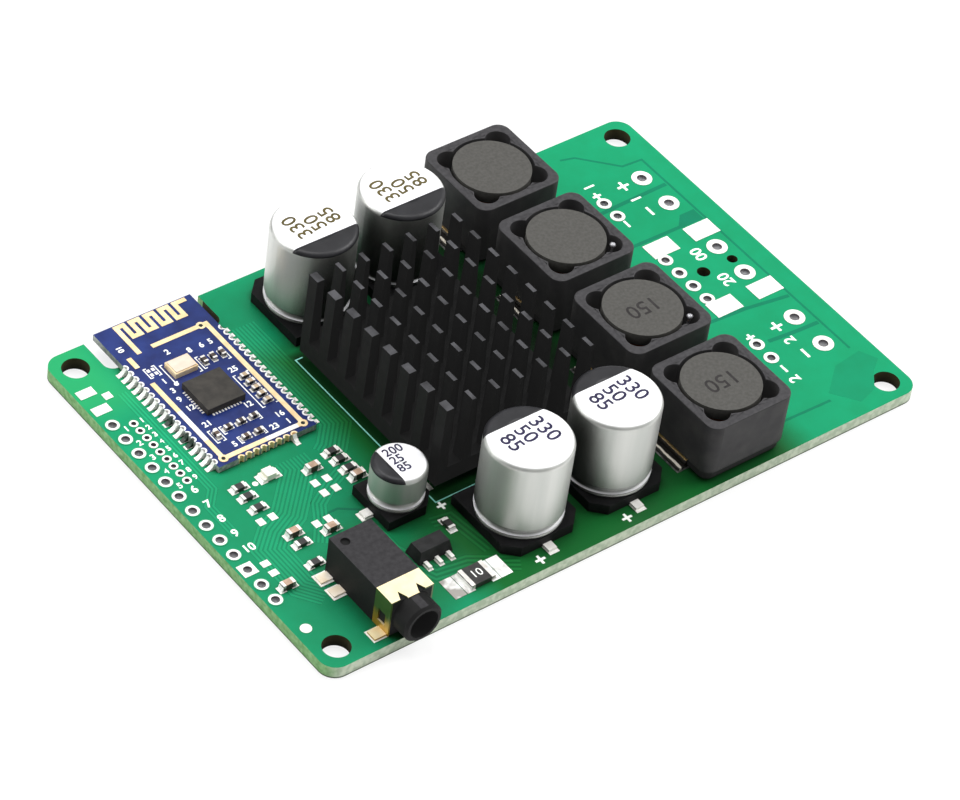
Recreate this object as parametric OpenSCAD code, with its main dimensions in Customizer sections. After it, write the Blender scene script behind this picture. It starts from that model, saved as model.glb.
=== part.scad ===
// Two-channel audio amplifier board with a soldered wireless module, in millimetres.
// The frame's origin is the middle of the mounting holes, on the underside of the board.
// +X runs along the board from the module to the speaker terminals, +Y away from the audio jack.

/* [Circuit board] */
// Thickness of the circuit board
board_t = 1.6; // [1:0.1:2.4]
// Radius of the board's corners
corner_r = 2; // [0.5:0.1:2.6]
// Diameter of the mounting holes
mount_hole_d = 3.2; // [2.6:0.1:3.6]
// Distance of the mounting holes from both edges
mount_hole_inset = 2.75; // [2.3:0.05:3]
// Thickness of the tinned lands
land_t = 0.05; // [0.03:0.01:0.1]
// Thickness of the plating inside holes
plating_t = 0.1; // [0.05:0.01:0.15]

/* [Layout along X] */
// Left edge to the header holes
header_inset = 1.2; // [1.1:0.05:1.6]
// Header holes to the small header holes
console_offset = 2.1; // [1.8:0.1:2.6]
// Small header holes to the module
module_gap = 3.55; // [2.5:0.05:5]
// Module to the heatsink
heatsink_gap = 4.8; // [4:0.1:6]
// Heatsink and large capacitors to the inductors
inductor_gap = 3; // [2:0.1:6]
// Inductors to the small speaker holes
speaker_gap = 8.2; // [3:0.1:10]
// Small speaker holes to the terminal holes
terminal_offset = 6.75; // [5.6:0.05:9]
// Terminal holes to the right edge
terminal_inset = 4.85; // [3:0.05:8]

/* [Layout along Y] */
// Heatsink to the rows of large capacitors
capacitor_gap = 1.85; // [1:0.05:4]
// Large capacitors to the board's edges
capacitor_edge_gap = 2.5; // [2:0.1:5]
// Shift of heatsink and large capacitors towards the back
power_shift = 0.3; // [-0.3:0.1:0.5]
// Gap between inductors
inductor_row_gap = 1.95; // [0.6:0.05:3]
// Inductors to the board's edges, at least
inductor_edge_gap = 0.6; // [0.3:0.1:3]
// Room for chip parts between the module and the audio jack
chip_zone = 17.7; // [17:0.1:22]
// Middle of the speaker terminals along Y
terminal_mid_y = 0.65; // [-1:0.05:1]
// Distance between the rows of terminal pairs
terminal_row_pitch = 13.95; // [13:0.05:16]

/* [Plated holes] */
// Pitch of the header holes
header_pitch = 2.54; // [2:0.01:2.6]
// Number of header holes
header_count = 13; // [4:1:13]
// Shift of the header's middle along Y
header_shift = -0.4; // [-1:0.1:1]
// Drill of the header holes
header_hole_d = 1; // [0.8:0.05:1.1]
// Ring around each header hole
header_ring_d = 1.8; // [1.5:0.05:2]
// Pitch of the small header holes
console_pitch = 1.27; // [1.2:0.01:1.3]
// Number of small header holes
console_count = 9; // [2:1:9]
// Drill of the small header holes
console_hole_d = 0.6; // [0.4:0.05:0.7]
// Ring around each small header hole
console_ring_d = 1.05; // [0.95:0.05:1.15]
// Pitch of each pair of terminal holes
terminal_pitch = 5.08; // [5:0.01:5.2]
// Drill of the terminal holes
terminal_hole_d = 1.2; // [1:0.05:1.5]
// Ring around each terminal hole
terminal_ring_d = 2.5; // [2.1:0.05:2.8]

/* [Heatsink] */
// Columns of pin fins
fin_cols = 7; // [5:1:8]
// Pitch of the fin columns
fin_pitch = 3.22; // [2.8:0.01:3.6]
// Thickness of a fin at its tip
fin_tip_t = 0.5; // [0.4:0.05:1]
// Thickness of a fin at its root
fin_root_t = 1.3; // [1:0.05:1.4]
// Thickness of the first column's fins at the root
edge_fin_t = 1.4; // [1.2:0.05:1.6]
// Rows of pin fins
fin_rows = 8; // [5:1:9]
// Pitch of the fin rows
row_pitch = 3.35; // [2.8:0.01:3.6]
// Length of a pin along its row
pin_l = 1.5; // [1:0.1:2]
// Thickness of the heatsink's plate
sink_plate_t = 2.2; // [1.5:0.1:3]
// Height of the fins above the plate
fin_h = 9; // [5:0.1:14]

/* [Amplifier chip] */
// Length of the amplifier chip's body
amp_l = 11; // [10.4:0.1:14]
// Width of the amplifier chip's body
amp_w = 6.1; // [5:0.1:8]
// Height of the amplifier chip's body
amp_h = 1; // [0.8:0.05:1.3]
// Leads on each long side of the amplifier chip
amp_lead_count = 16; // [8:1:16]
// Thickness of the thermal pad
thermal_pad_t = 0.4; // [0.2:0.1:1]

/* [Large capacitors] */
// Diameter of a large capacitor's can
can_d = 10; // [8:0.1:11]
// Height of a large capacitor above the board's lands
can_h = 11.85; // [9:0.05:14]
// Gap between large capacitors
can_gap = 1.8; // [0.8:0.1:3]
// First large capacitor's middle from the heatsink's left side
can_offset = 6.1; // [5.5:0.1:7]

/* [Small capacitor] */
// Diameter of the small capacitor's can
small_can_d = 6.3; // [5:0.1:6.6]
// Height of the small capacitor above the board's lands
small_can_h = 6.1; // [5:0.1:8]

/* [Capacitor cans and bases] */
// Margin of a capacitor's base around its can
base_margin = 0.15; // [0.1:0.05:0.3]
// Thickness of a capacitor's base
base_t = 1.3; // [1:0.1:1.8]
// Depth of the can's seat in its base
can_seat = 0.3; // [0.1:0.05:0.5]
// Chamfer on the base's two positive corners
base_chamfer = 1.6; // [0.8:0.1:2]
// Radius of the can's top edge
can_edge_r = 0.6; // [0.3:0.1:1]
// Width of a capacitor's flat lead
lead_w = 1.1; // [0.6:0.1:1.4]
// Thickness of a capacitor's flat lead
lead_t = 0.3; // [0.15:0.05:0.4]
// Length of lead that shows beside the base
lead_out = 1.1; // [0.6:0.1:1.5]

/* [Inductors] */
// Side of an inductor's square shield
inductor_side = 11.8; // [10:0.1:13]
// Height of an inductor's shield
shield_h = 8; // [5:0.1:10]
// Radius of the shield's corners
shield_corner_r = 1.5; // [0.6:0.1:2]
// Thinnest wall of the shield
shield_wall = 0.9; // [0.8:0.05:1.2]
// Gap between the shield and the drum core
drum_gap = 0.4; // [0.2:0.05:0.5]
// Thickness of the drum's flanges
flange_t = 1.5; // [1:0.1:2]
// Diameter of the drum's core
drum_core_d = 4.6; // [3:0.1:6]
// Width of an inductor's terminals
terminal_w = 5; // [3:0.1:6]
// Thickness of an inductor's terminals
terminal_t = 0.3; // [0.2:0.05:0.4]
// Length of terminal that shows beside the shield
terminal_out = 0.9; // [0.5:0.1:1.2]

/* [Wireless module] */
// Width of the module's board
module_w = 13; // [12.6:0.1:15]
// Length of the module's board
module_l = 24.3; // [23.8:0.1:28]
// Thickness of the module's board
module_t = 0.8; // [0.6:0.1:1.2]
// Pitch of the castellated pads
castellation_pitch = 1; // [0.9:0.01:1.02]
// Module's front corners to the first front castellated pads
front_margin = 3; // [1:0.1:4]
// Drill of the castellated half holes
castellation_d = 0.5; // [0.35:0.05:0.55]
// Depth of the antenna cut-out in the circuit board
notch_depth = 5.05; // [4.5:0.05:5.3]
// Clearance beside the module in the antenna cut-out
notch_side = 1.2; // [0.8:0.1:2]
// Radius of the cut-out's inner corners
notch_r = 1.2; // [0.5:0.1:2]
// Side of the module's chip
module_chip_side = 5; // [4:0.1:5.2]
// Height of the module's chip
module_chip_h = 0.85; // [0.6:0.05:1]

/* [Audio jack] */
// Width of the jack's housing
jack_w = 5.5; // [5.2:0.1:6.2]
// Height of the jack's housing
jack_h = 5; // [5:0.1:6]
// Length of the open housing behind the shell
jack_l = 8.4; // [7.5:0.1:10]
// Length of the metal shell
shell_l = 2.7; // [2.4:0.1:3.5]
// Thickness of the shell's sheet
shell_t = 0.2; // [0.15:0.05:0.3]
// Diameter of the jack's barrel
barrel_d = 4.9; // [4.6:0.1:5]
// Length of the barrel in front of the shell
barrel_l = 2.4; // [1.5:0.1:4]
// Length of the barrel that reaches past the board's edge
barrel_overhang = 1.4; // [0.5:0.1:1.5]
// Chamfer on the barrel's front rim
barrel_chamfer = 0.3; // [0.1:0.05:0.4]
// Bore for the audio plug
plug_bore_d = 3.6; // [3.5:0.05:3.7]
// Left edge to the jack's middle
jack_offset = 10.8; // [10:0.1:11.4]

/* [Regulator] */
// Width of the regulator's body
regulator_w = 4.5; // [4:0.1:5]
// Depth of the regulator's body
regulator_d = 2.5; // [2.2:0.1:2.8]
// Height of the regulator's body
regulator_h = 1.5; // [1.2:0.1:1.8]
// Pitch of the regulator's leads
regulator_pitch = 1.5; // [1.3:0.05:1.7]

/* [Chip parts] */
// Length of a chip part
chip_l = 1.6; // [1.4:0.05:1.7]
// Width of a chip part
chip_w = 0.8; // [0.6:0.05:0.85]
// Height of a chip resistor
chip_resistor_h = 0.45; // [0.3:0.05:0.6]
// Height of a chip capacitor
chip_capacitor_h = 0.8; // [0.5:0.05:0.9]
// Length of a chip part's end caps
chip_end_l = 0.35; // [0.2:0.05:0.45]
// Length of the wide resistor
wide_l = 3.2; // [2.8:0.1:3.5]
// Width of the wide resistor
wide_w = 2.6; // [2.2:0.1:2.8]
// Height of the wide resistor
wide_h = 0.6; // [0.4:0.05:0.9]
// Length of the module's chip parts
tiny_l = 1; // [0.8:0.05:1.05]
// Width of the module's chip parts
tiny_w = 0.55; // [0.4:0.05:0.6]
// Height of the module's chip parts
tiny_h = 0.5; // [0.3:0.05:0.6]

/* [Hidden] */
$fn = 64;

// Reach of a cutting solid past the faces that it opens
cut = 1;

// Sizes that follow from the driving ones
sink_w = edge_fin_t / 2 + (fin_cols - 1) * fin_pitch + fin_root_t / 2;
sink_d = (fin_rows - 1) * row_pitch + pin_l;
base_side = can_d + 2 * base_margin;
power_w = max(sink_w, can_offset + can_gap + base_side * 1.5);
small_base_side = small_can_d + 2 * base_margin;
jack_on_board = jack_l + shell_l + barrel_l - barrel_overhang;

// Board outline, from the rows and columns that it carries
board_l = header_inset + console_offset + module_gap + module_w + heatsink_gap + power_w
  + inductor_gap + inductor_side + speaker_gap + terminal_offset + terminal_inset;
capacitor_chain = sink_d + 2 * (capacitor_gap + base_side + capacitor_edge_gap);
inductor_chain = 4 * inductor_side + 3 * inductor_row_gap + 2 * inductor_edge_gap;
module_chain = module_l + chip_zone + jack_on_board;
board_d = max(capacitor_chain, inductor_chain, module_chain);

// Places along X
left_x = -board_l / 2;
header_x = left_x + header_inset;
console_x = header_x + console_offset;
module_x = console_x + module_gap;
module_right = module_x + module_w;
sink_x = module_right + heatsink_gap;
inductor_x = sink_x + power_w + inductor_gap + inductor_side / 2;
speaker_x = inductor_x + inductor_side / 2 + speaker_gap;
terminal_x = speaker_x + terminal_offset;
jack_x = left_x + jack_offset;
can_x = [sink_x + can_offset, sink_x + can_offset + base_side + can_gap];
small_can_gap = 0.75;
small_can_x = sink_x - small_can_gap - small_base_side / 2;

// Places along Y
front_y = -board_d / 2;
back_y = board_d / 2;
sink_y = power_shift - sink_d / 2;
can_y = sink_d / 2 + capacitor_gap + base_side / 2;
inductor_pitch = inductor_side + inductor_row_gap;
module_front = back_y - module_l;
barrel_tip_y = front_y - barrel_overhang;
shell_front = barrel_tip_y + barrel_l;
shell_back = shell_front + shell_l;
jack_back = shell_back + jack_l;
header_first_y = header_shift + (header_count - 1) * header_pitch / 2;
small_can_inset = 16.55;
small_can_y = front_y + small_can_inset;

// Heights
seat_z = board_t + land_t;
amp_standoff = 0.1;
amp_top = seat_z + amp_standoff + amp_h;
sink_z = amp_top + thermal_pad_t;
module_top = seat_z + module_t;
shield_z = seat_z + terminal_t;

// Rows of holes
header_points = [for (i = [0 : header_count - 1]) [header_x, header_first_y - i * header_pitch]];
console_start = 1;
console_points = [for (i = [0 : console_count - 1])
  [console_x, header_first_y - console_start - i * console_pitch]];
terminal_points = [for (row = [-1 : 1], end = [-1, 1])
  [terminal_x, terminal_mid_y + row * terminal_row_pitch + end * terminal_pitch / 2]];
small_pair_points = [for (row = [-1, 1], end = [-1, 1])
  [speaker_x, terminal_mid_y + row * terminal_row_pitch + end * header_pitch / 2]];
jumper_points = [for (i = [0 : 3]) [speaker_x, terminal_mid_y + (1.5 - i) * header_pitch]];
square_header = 10;
mount_points = [for (x = [-1, 1], y = [-1, 1])
  [x * (board_l / 2 - mount_hole_inset), y * (board_d / 2 - mount_hole_inset)]];

// Locating holes and lands of the power socket
socket_hole_d = [1.6, 1.3];
socket_hole_points = [[speaker_x + 2.6, terminal_mid_y], [terminal_x + 0.2, terminal_mid_y]];
socket_land = [3.75, 2.5];
socket_land_y = 5.75;
socket_land_x = [speaker_x + 0.95, terminal_x + 0.3];

// Chip parts of the circuit board: middle and turn of each
chip_resistor_places = [
  [module_x + 0.5, module_front - 3.1, 0], [module_x + 0.5, module_front - 4.7, 0],
  [module_x + 0.5, module_front - 6.65, 0], [module_right - 0.7, module_front - 3.8, 0],
  [module_right - 0.6, module_front - 5.2, 0], [module_right - 0.55, module_front - 6.8, 0],
  [jack_x - 2.5, jack_back + 4.5, 0], [jack_x - 3, jack_back + 1.4, 0],
  [sink_x - 1.3, front_y + 10.65, 90]
];
chip_capacitor_places = [
  [module_right - 4, module_front - 4.8, 0], [module_right - 0.45, module_front - 8.25, 0],
  [jack_x - 2.45, jack_back + 6.1, 0], [jack_x + 1.45, jack_back + 4.6, 0],
  [header_x + 2.1, jack_back + 0.2, 0]
];

// Chip lands that carry no part: middle and turn of each pair
empty_places = [
  [module_x + 0.4, module_front - 8.4, 0], [module_right - 4.2, module_front - 6.7, 0],
  [module_right - 4.2, module_front - 8.4, 0], [jack_x + 1.4, jack_back + 6.1, 0],
  [header_x + 2.1, jack_back + 3.4, 90]
];

led_size = [2, 1.25, 0.8];
led_place = [module_x + 4.3, module_front - 3.2];
wide_x = sink_x - 3.35;
wide_y = front_y + 2.95;
regulator_x = sink_x - 5.35;
regulator_y = front_y + 8.65;

// Places on the module, from its left side and its back edge
function on_module(p) = [module_x + p[0], back_y - p[1]];
track_t = 0.05;
track_w = 0.6;
frame_inset = 1.2;
frame_back = 4.9;
frame_front = module_l - 0.9;
frame_right = module_w - frame_inset;
via_d = 0.5;
via_ring_d = 1.1;
side_start = 6.3;
side_count = floor((module_l - side_start - via_ring_d / 2) / castellation_pitch) + 1;
front_count = floor((module_w - 2 * front_margin) / castellation_pitch) + 1;
front_start = (module_w - (front_count - 1) * castellation_pitch) / 2;

// The module's chip, crystal and chip parts, spaced from its ground track and from each other
chip_clear = 1;
module_chip_x = frame_right - track_w / 2 - 2 * chip_clear - tiny_l - module_chip_side / 2;
module_chip_place = [module_chip_x, module_l / 2 + 2.5];
crystal_size = [3, 2.2, 0.7];
crystal_lid_t = 0.15;
crystal_place = [module_chip_x - 0.7, module_chip_place[1] - module_chip_side / 2 - 2.7];
column_x = frame_right - track_w / 2 - chip_clear / 2 - tiny_l / 2;
column_y = module_chip_place[1] - 0.5;
column_pitch = 2 * tiny_w;
front_row_y = module_chip_place[1] + module_chip_side / 2 + 2.7;
row_step = 1.7 * tiny_l;
tiny_places = concat(
  [for (i = [0 : 4]) [column_x, column_y + i * column_pitch, 0]],
  [for (i = [-1 : 1]) [module_chip_x + i * row_step, front_row_y, 0]],
  [for (i = [-0.5, 0.5]) [module_chip_x + i * row_step, front_row_y + 2 * column_pitch, 0]],
  [for (i = [0 : 2]) [column_x - i * 1.2 * tiny_l, crystal_place[1] + 0.4, 90]],
  [[module_chip_x - 2 * row_step, front_row_y + 0.3, 90]]
);

// Capacitors: middle, and the turn that sets the positive corners
capacitor_places = [
  [can_x[0], power_shift - can_y, 0], [can_x[1], power_shift - can_y, 0],
  [can_x[0], power_shift + can_y, 180], [can_x[1], power_shift + can_y, 180]
];
small_capacitor_place = [small_can_x, small_can_y, 90];

// A flat outline with rounded corners, centred
module rounded_outline(size, r) {
  square([size[0] - 2 * r, size[1]], center = true);
  square([size[0], size[1] - 2 * r], center = true);
  for (x = [-1, 1], y = [-1, 1])
    translate([x * (size[0] / 2 - r), y * (size[1] / 2 - r)]) circle(r);
}

// Children at each of a list of flat points
module at_each(points, z = 0) {
  for (p = points) translate([p[0], p[1], z]) children();
}

// Children at each of a list of places with a turn about Z
module at_places(places, z = 0) {
  for (p = places) translate([p[0], p[1], z]) rotate([0, 0, p[2]]) children();
}

// A block that stands on z = 0, centred in X and Y
module block(size) {
  translate([-size[0] / 2, -size[1] / 2, 0]) cube(size);
}

// Room in the board for one plated hole: the drill and the flush ring underneath
module plated_drill(hole_d, ring_d) {
  translate([0, 0, -cut]) cylinder(d = hole_d + 2 * plating_t, h = board_t + 2 * cut);
  translate([0, 0, -cut]) cylinder(d = ring_d, h = land_t + cut);
}

// One plated hole, turned: a barrel with a ring on top and a flush ring underneath
module plated_hole(hole_d, ring_d) {
  inner = hole_d / 2;
  barrel = inner + plating_t;
  ring = ring_d / 2;
  rotate_extrude() polygon([[inner, 0], [ring, 0], [ring, land_t], [barrel, land_t], [barrel, board_t],
    [ring, board_t], [ring, board_t + land_t], [inner, board_t + land_t]]);
}

// The header hole with a square land on top
module square_hole() {
  plated_hole(header_hole_d, header_ring_d);
  difference() {
    translate([0, 0, board_t]) block([header_ring_d, header_ring_d, land_t]);
    cylinder(d = header_hole_d + 2 * plating_t, h = board_t + cut);
  }
}

module notch_outline() {
  w = module_w + 2 * notch_side;
  translate([module_x + module_w / 2, back_y - notch_depth / 2])
    rounded_outline([w, notch_depth], notch_r);
  translate([module_x - notch_side, back_y - notch_depth / 2])
    square([w, notch_depth / 2 + cut]);
}

module circuit_board() {
  color("seagreen") difference() {
    linear_extrude(board_t) difference() {
      rounded_outline([board_l, board_d], corner_r);
      notch_outline();
    }
    at_each(mount_points, -cut) cylinder(d = mount_hole_d, h = board_t + 2 * cut);
    at_each(header_points) plated_drill(header_hole_d, header_ring_d);
    at_each(console_points) plated_drill(console_hole_d, console_ring_d);
    at_each(terminal_points) plated_drill(terminal_hole_d, terminal_ring_d);
    at_each(small_pair_points) plated_drill(header_hole_d, header_ring_d);
    at_each(jumper_points) plated_drill(header_hole_d, header_ring_d);
    for (i = [0, 1])
      at_each([socket_hole_points[i]], -cut) cylinder(d = socket_hole_d[i], h = board_t + 2 * cut);
  }
}

module header_plating() {
  color("gainsboro") {
    for (i = [0 : header_count - 1]) at_each([header_points[i]]) {
      if (i == square_header) square_hole();
      else plated_hole(header_hole_d, header_ring_d);
    }
    at_each(console_points) plated_hole(console_hole_d, console_ring_d);
  }
}

module terminal_plating() {
  color("gainsboro") at_each(terminal_points) plated_hole(terminal_hole_d, terminal_ring_d);
}

module speaker_plating() {
  color("gainsboro") {
    at_each(small_pair_points) plated_hole(header_hole_d, header_ring_d);
    at_each(jumper_points) plated_hole(header_hole_d, header_ring_d);
  }
}

// The pair of lands under one chip part of the given size
land_reach = 0.4;
land_inside = 0.1;
module chip_land_pair(l, w, end_l) {
  size = [end_l + land_inside + land_reach, w + 2 * land_inside, land_t];
  for (side = [-1, 1])
    translate([side * (l / 2 + land_reach - size[0] / 2), 0, 0]) block(size);
}

fiducial_d = 1.3;
fiducial_place = [left_x + 1.5, front_y + 6.45];
spare_land = [2.1, 1.3];
spare_pitch = 3;
spare_places = [for (i = [0, 1]) [left_x + 1.5, header_first_y + 2.6 + i * spare_pitch]];
small_spare_side = 1;
small_spare_place = [left_x + 3.3, header_first_y + 2.6 + spare_pitch / 2];
module bare_lands() {
  color("whitesmoke") {
    difference() {
      for (x = socket_land_x, side = [-1, 1])
        translate([x, terminal_mid_y + side * socket_land_y, board_t])
          block(concat(socket_land, land_t));
      at_each(jumper_points) cylinder(d = header_ring_d, h = board_t + cut);
    }
    at_places(empty_places, board_t) chip_land_pair(chip_l, chip_w, chip_end_l);
    at_each(spare_places, board_t) block(concat(spare_land, land_t));
    at_each([small_spare_place], board_t) block([small_spare_side, small_spare_side, land_t]);
    at_each([fiducial_place], board_t) cylinder(d = fiducial_d, h = land_t);
  }
}

wide_land_l = 1.1;
wide_outer_l = 1.5;
wide_outer_x = 3.1;
module part_lands() {
  color("whitesmoke") {
    at_places(chip_resistor_places, board_t) chip_land_pair(chip_l, chip_w, chip_end_l);
    at_places(chip_capacitor_places, board_t) chip_land_pair(chip_l, chip_w, chip_end_l);
    at_each([led_place], board_t) chip_land_pair(led_size[0], led_size[1], led_end_l);
    for (side = [-1, 1]) at_each([[wide_x, wide_y]], board_t) {
      translate([side * (wide_l / 2 + land_inside), 0, 0])
        block([wide_land_l, wide_w + land_reach, land_t]);
      translate([side * wide_outer_x, 0, 0]) block([wide_outer_l, wide_w + land_reach, land_t]);
    }
    for (p = capacitor_places) at_places([p], board_t) capacitor_lands(base_side);
    at_places([small_capacitor_place], board_t) capacitor_lands(small_base_side);
    for (i = [0 : 3], side = [-1, 1])
      translate([inductor_x + side * terminal_mid, inductor_y(i), board_t])
        block([terminal_reach + land_reach, terminal_w + land_reach, land_t]);
    at_places(soldered_castellations, board_t)
      translate([castellation_land_mid, 0, 0])
        block([castellation_land_l, castellation_pitch * castellation_land_share, land_t]);
    for (y = concat(contact_y, shell_foot_y)) translate([foot_mid_x, y, board_t])
      block([foot_l + land_reach, foot_w + land_reach, land_t]);
    for (i = [-1 : 1])
      translate([regulator_x + i * regulator_pitch, regulator_y - regulator_land_y, board_t])
        block([regulator_lead_w + 2 * land_inside, regulator_lead_out + land_reach, land_t]);
    translate([regulator_x, regulator_y + regulator_tab_y, board_t])
      block([regulator_tab_w + 2 * land_inside, regulator_tab_out + land_inside, land_t]);
    for (side = [-1, 1], i = [0 : amp_lead_count - 1])
      translate([amp_x + side * (amp_w / 2 + amp_lead_out - amp_foot / 2), amp_lead_y(i), board_t])
        block([amp_foot + land_inside, amp_lead_w, land_t]);
  }
}

// Cross-cut extrusion: tapered fins along Y, then cross slots down to the plate
module heatsink() {
  color("#262626") translate([sink_x, sink_y, sink_z]) difference() {
    translate([0, sink_d, 0]) rotate([90, 0, 0]) linear_extrude(sink_d) {
      square([sink_w, sink_plate_t]);
      for (i = [0 : fin_cols - 1]) translate([edge_fin_t / 2 + i * fin_pitch, sink_plate_t])
        fin_profile(i == 0 ? edge_fin_t : fin_root_t, i == 0 ? edge_fin_t - edge_fin_draft : fin_tip_t);
    }
    for (i = [0 : fin_rows - 2])
      translate([-cut, i * row_pitch + pin_l, sink_plate_t])
        cube([sink_w + 2 * cut, row_pitch - pin_l, fin_h + cut]);
  }
}

// Section of one fin, root to tip
edge_fin_draft = 0.45;
fin_sink = 0.2;
module fin_profile(root, tip) {
  polygon([[-root / 2, -fin_sink], [root / 2, -fin_sink], [root / 2, 0],
    [tip / 2, fin_h], [-tip / 2, fin_h], [-root / 2, 0]]);
}

// Amplifier chip under the heatsink's middle
amp_x = sink_x + sink_w / 2;
amp_y = sink_y + sink_d / 2;
amp_pitch = 0.65;
amp_lead_w = 0.3;
amp_lead_t = 0.15;
amp_lead_out = 1;
amp_foot = 0.6;
function amp_lead_y(i) = amp_y + (i - (amp_lead_count - 1) / 2) * amp_pitch;

module thermal_pad() {
  color("slategray") translate([amp_x, amp_y, amp_top]) block([amp_w, amp_l, thermal_pad_t]);
}

module amplifier_chip() {
  color("#2b2b2b") translate([amp_x, amp_y, seat_z + amp_standoff]) block([amp_w, amp_l, amp_h]);
}

// Gull-wing lead: out of the body, down, and a foot on its land
module amplifier_leads() {
  exit_z = amp_standoff + amp_h / 2;
  knee = amp_lead_out - amp_foot;
  color("silver") for (side = [-1, 1], i = [0 : amp_lead_count - 1])
    translate([amp_x, amp_lead_y(i), seat_z]) mirror([side < 0 ? 1 : 0, 0, 0])
      translate([amp_w / 2, amp_lead_w / 2, 0]) rotate([90, 0, 0]) linear_extrude(amp_lead_w)
        polygon([[0, exit_z], [knee + amp_lead_t, exit_z], [knee + amp_lead_t, amp_lead_t],
          [amp_lead_out, amp_lead_t], [amp_lead_out, 0], [knee, 0],
          [knee, exit_z - amp_lead_t], [0, exit_z - amp_lead_t]]);
}

// Half section of a can: curled foot, crimp groove, wall and rounded shoulder
crimp_r = 0.45;
foot_r = 0.4;
module can_section(r, h) {
  waist_z = 2 * foot_r + crimp_r;
  difference() {
    union() {
      square([r - foot_r, waist_z]);
      translate([r - foot_r, foot_r]) circle(foot_r);
      translate([0, waist_z - crimp_r]) square([r, h - waist_z + crimp_r - can_edge_r]);
      square([r - can_edge_r, h]);
      translate([r - can_edge_r, h - can_edge_r]) circle(can_edge_r);
    }
    translate([r, waist_z]) circle(crimp_r);
  }
}

module can(d, h) {
  rotate_extrude() can_section(d / 2, h);
}

// Moulded base: two corners cut on the positive side (-Y), a round seat, and grooves for the leads
lead_inside = 1.2;
module base(side, seat_d) {
  c = side / 2;
  groove_l = c - lead_inside + cut;
  difference() {
    linear_extrude(base_t) polygon([[-c, c], [c, c], [c, -c + base_chamfer], [c - base_chamfer, -c],
      [-c + base_chamfer, -c], [-c, -c + base_chamfer]]);
    translate([0, 0, base_t - can_seat]) cylinder(d = seat_d, h = can_seat + cut);
    for (end = [-1, 1]) translate([0, end * (lead_inside + groove_l / 2), -cut])
      block([lead_w, groove_l, lead_t + cut]);
  }
}

// The two flat leads of one capacitor, in the grooves of its base
module lead_pair(side) {
  l = side / 2 - lead_inside + lead_out;
  for (end = [-1, 1]) translate([0, end * (lead_inside + l / 2), 0]) block([lead_w, l, lead_t]);
}

module capacitor_lands(side) {
  l = side / 2 - lead_inside + lead_out + land_reach;
  for (end = [-1, 1])
    translate([0, end * (lead_inside + l / 2), 0]) block([lead_w + 2 * land_inside, l, land_t]);
}

module capacitor_can(i) {
  color("silver") at_places([capacitor_places[i]], seat_z + base_t - can_seat)
    can(can_d, can_h - base_t + can_seat);
}

module capacitor_base(i) {
  color("#222222") at_places([capacitor_places[i]], seat_z) base(base_side, can_d);
}

module capacitor_leads() {
  color("gainsboro") {
    at_places(capacitor_places, seat_z) lead_pair(base_side);
    at_places([small_capacitor_place], seat_z) lead_pair(small_base_side);
  }
}

module small_capacitor_can() {
  color("silver") at_places([small_capacitor_place], seat_z + base_t - can_seat)
    can(small_can_d, small_can_h - base_t + can_seat);
}

module small_capacitor_base() {
  color("#222222") at_places([small_capacitor_place], seat_z) base(small_base_side, small_can_d);
}

// Inductor: square shield, drum core in its bore, winding on the drum, two terminals under both
bore_d = inductor_side - 2 * shield_wall;
drum_d = bore_d - 2 * drum_gap;
pocket_r = 0.145 * bore_d;
pocket_at = 0.495 * bore_d;
shield_foot_h = 1.2;
shield_foot_in = 0.35;
terminal_inside = 1.6;
terminal_reach = terminal_inside + shield_wall + terminal_out;
terminal_mid = inductor_side / 2 + terminal_out - terminal_reach / 2;
function inductor_y(i) = (1.5 - i) * inductor_pitch;

module shield_outline(inset) {
  side = inductor_side - 2 * inset;
  difference() {
    rounded_outline([side, side], shield_corner_r - inset);
    circle(d = bore_d);
    for (turn = [45 : 90 : 315]) rotate(turn) translate([pocket_at, 0]) circle(pocket_r);
  }
}

// Shield with a foot set back all round, and a round wire pocket in each corner
module inductor_shield(i) {
  color("#464446") translate([inductor_x, inductor_y(i), shield_z]) {
    linear_extrude(shield_foot_h) shield_outline(shield_foot_in);
    translate([0, 0, shield_foot_h]) linear_extrude(shield_h - shield_foot_h) shield_outline(0);
  }
}

module inductor_drum(i) {
  color("#64625c") translate([inductor_x, inductor_y(i), shield_z]) rotate_extrude() {
    square([drum_core_d / 2, shield_h]);
    square([drum_d / 2, flange_t]);
    translate([0, shield_h - flange_t]) square([drum_d / 2, flange_t]);
  }
}

// Layers of round wire between the drum's flanges
wire_d = 0.8;
module inductor_winding(i) {
  room = shield_h - 2 * flange_t;
  turns = floor(room / wire_d);
  step = room / turns;
  inner = drum_core_d / 2;
  outer = drum_d / 2 - wire_d;
  color("peru") translate([inductor_x, inductor_y(i), shield_z + flange_t]) rotate_extrude() {
    translate([inner, 0]) square([outer - inner, room]);
    for (k = [0 : turns - 1]) translate([outer, (k + 0.5) * step]) circle(d = wire_d);
  }
}

// Folded clips: a foot under drum and shield, and a lip up the shield's set-back foot
lip_h = 1;
module inductor_terminals(i) {
  color("gainsboro") for (side = [-1, 1])
    translate([inductor_x, inductor_y(i), seat_z]) mirror([side < 0 ? 1 : 0, 0, 0]) {
      translate([terminal_mid, 0, 0]) block([terminal_reach, terminal_w, terminal_t]);
      translate([inductor_side / 2 - shield_foot_in + terminal_t / 2, 0, terminal_t])
        block([terminal_t, terminal_w, lip_h]);
    }
}

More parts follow.
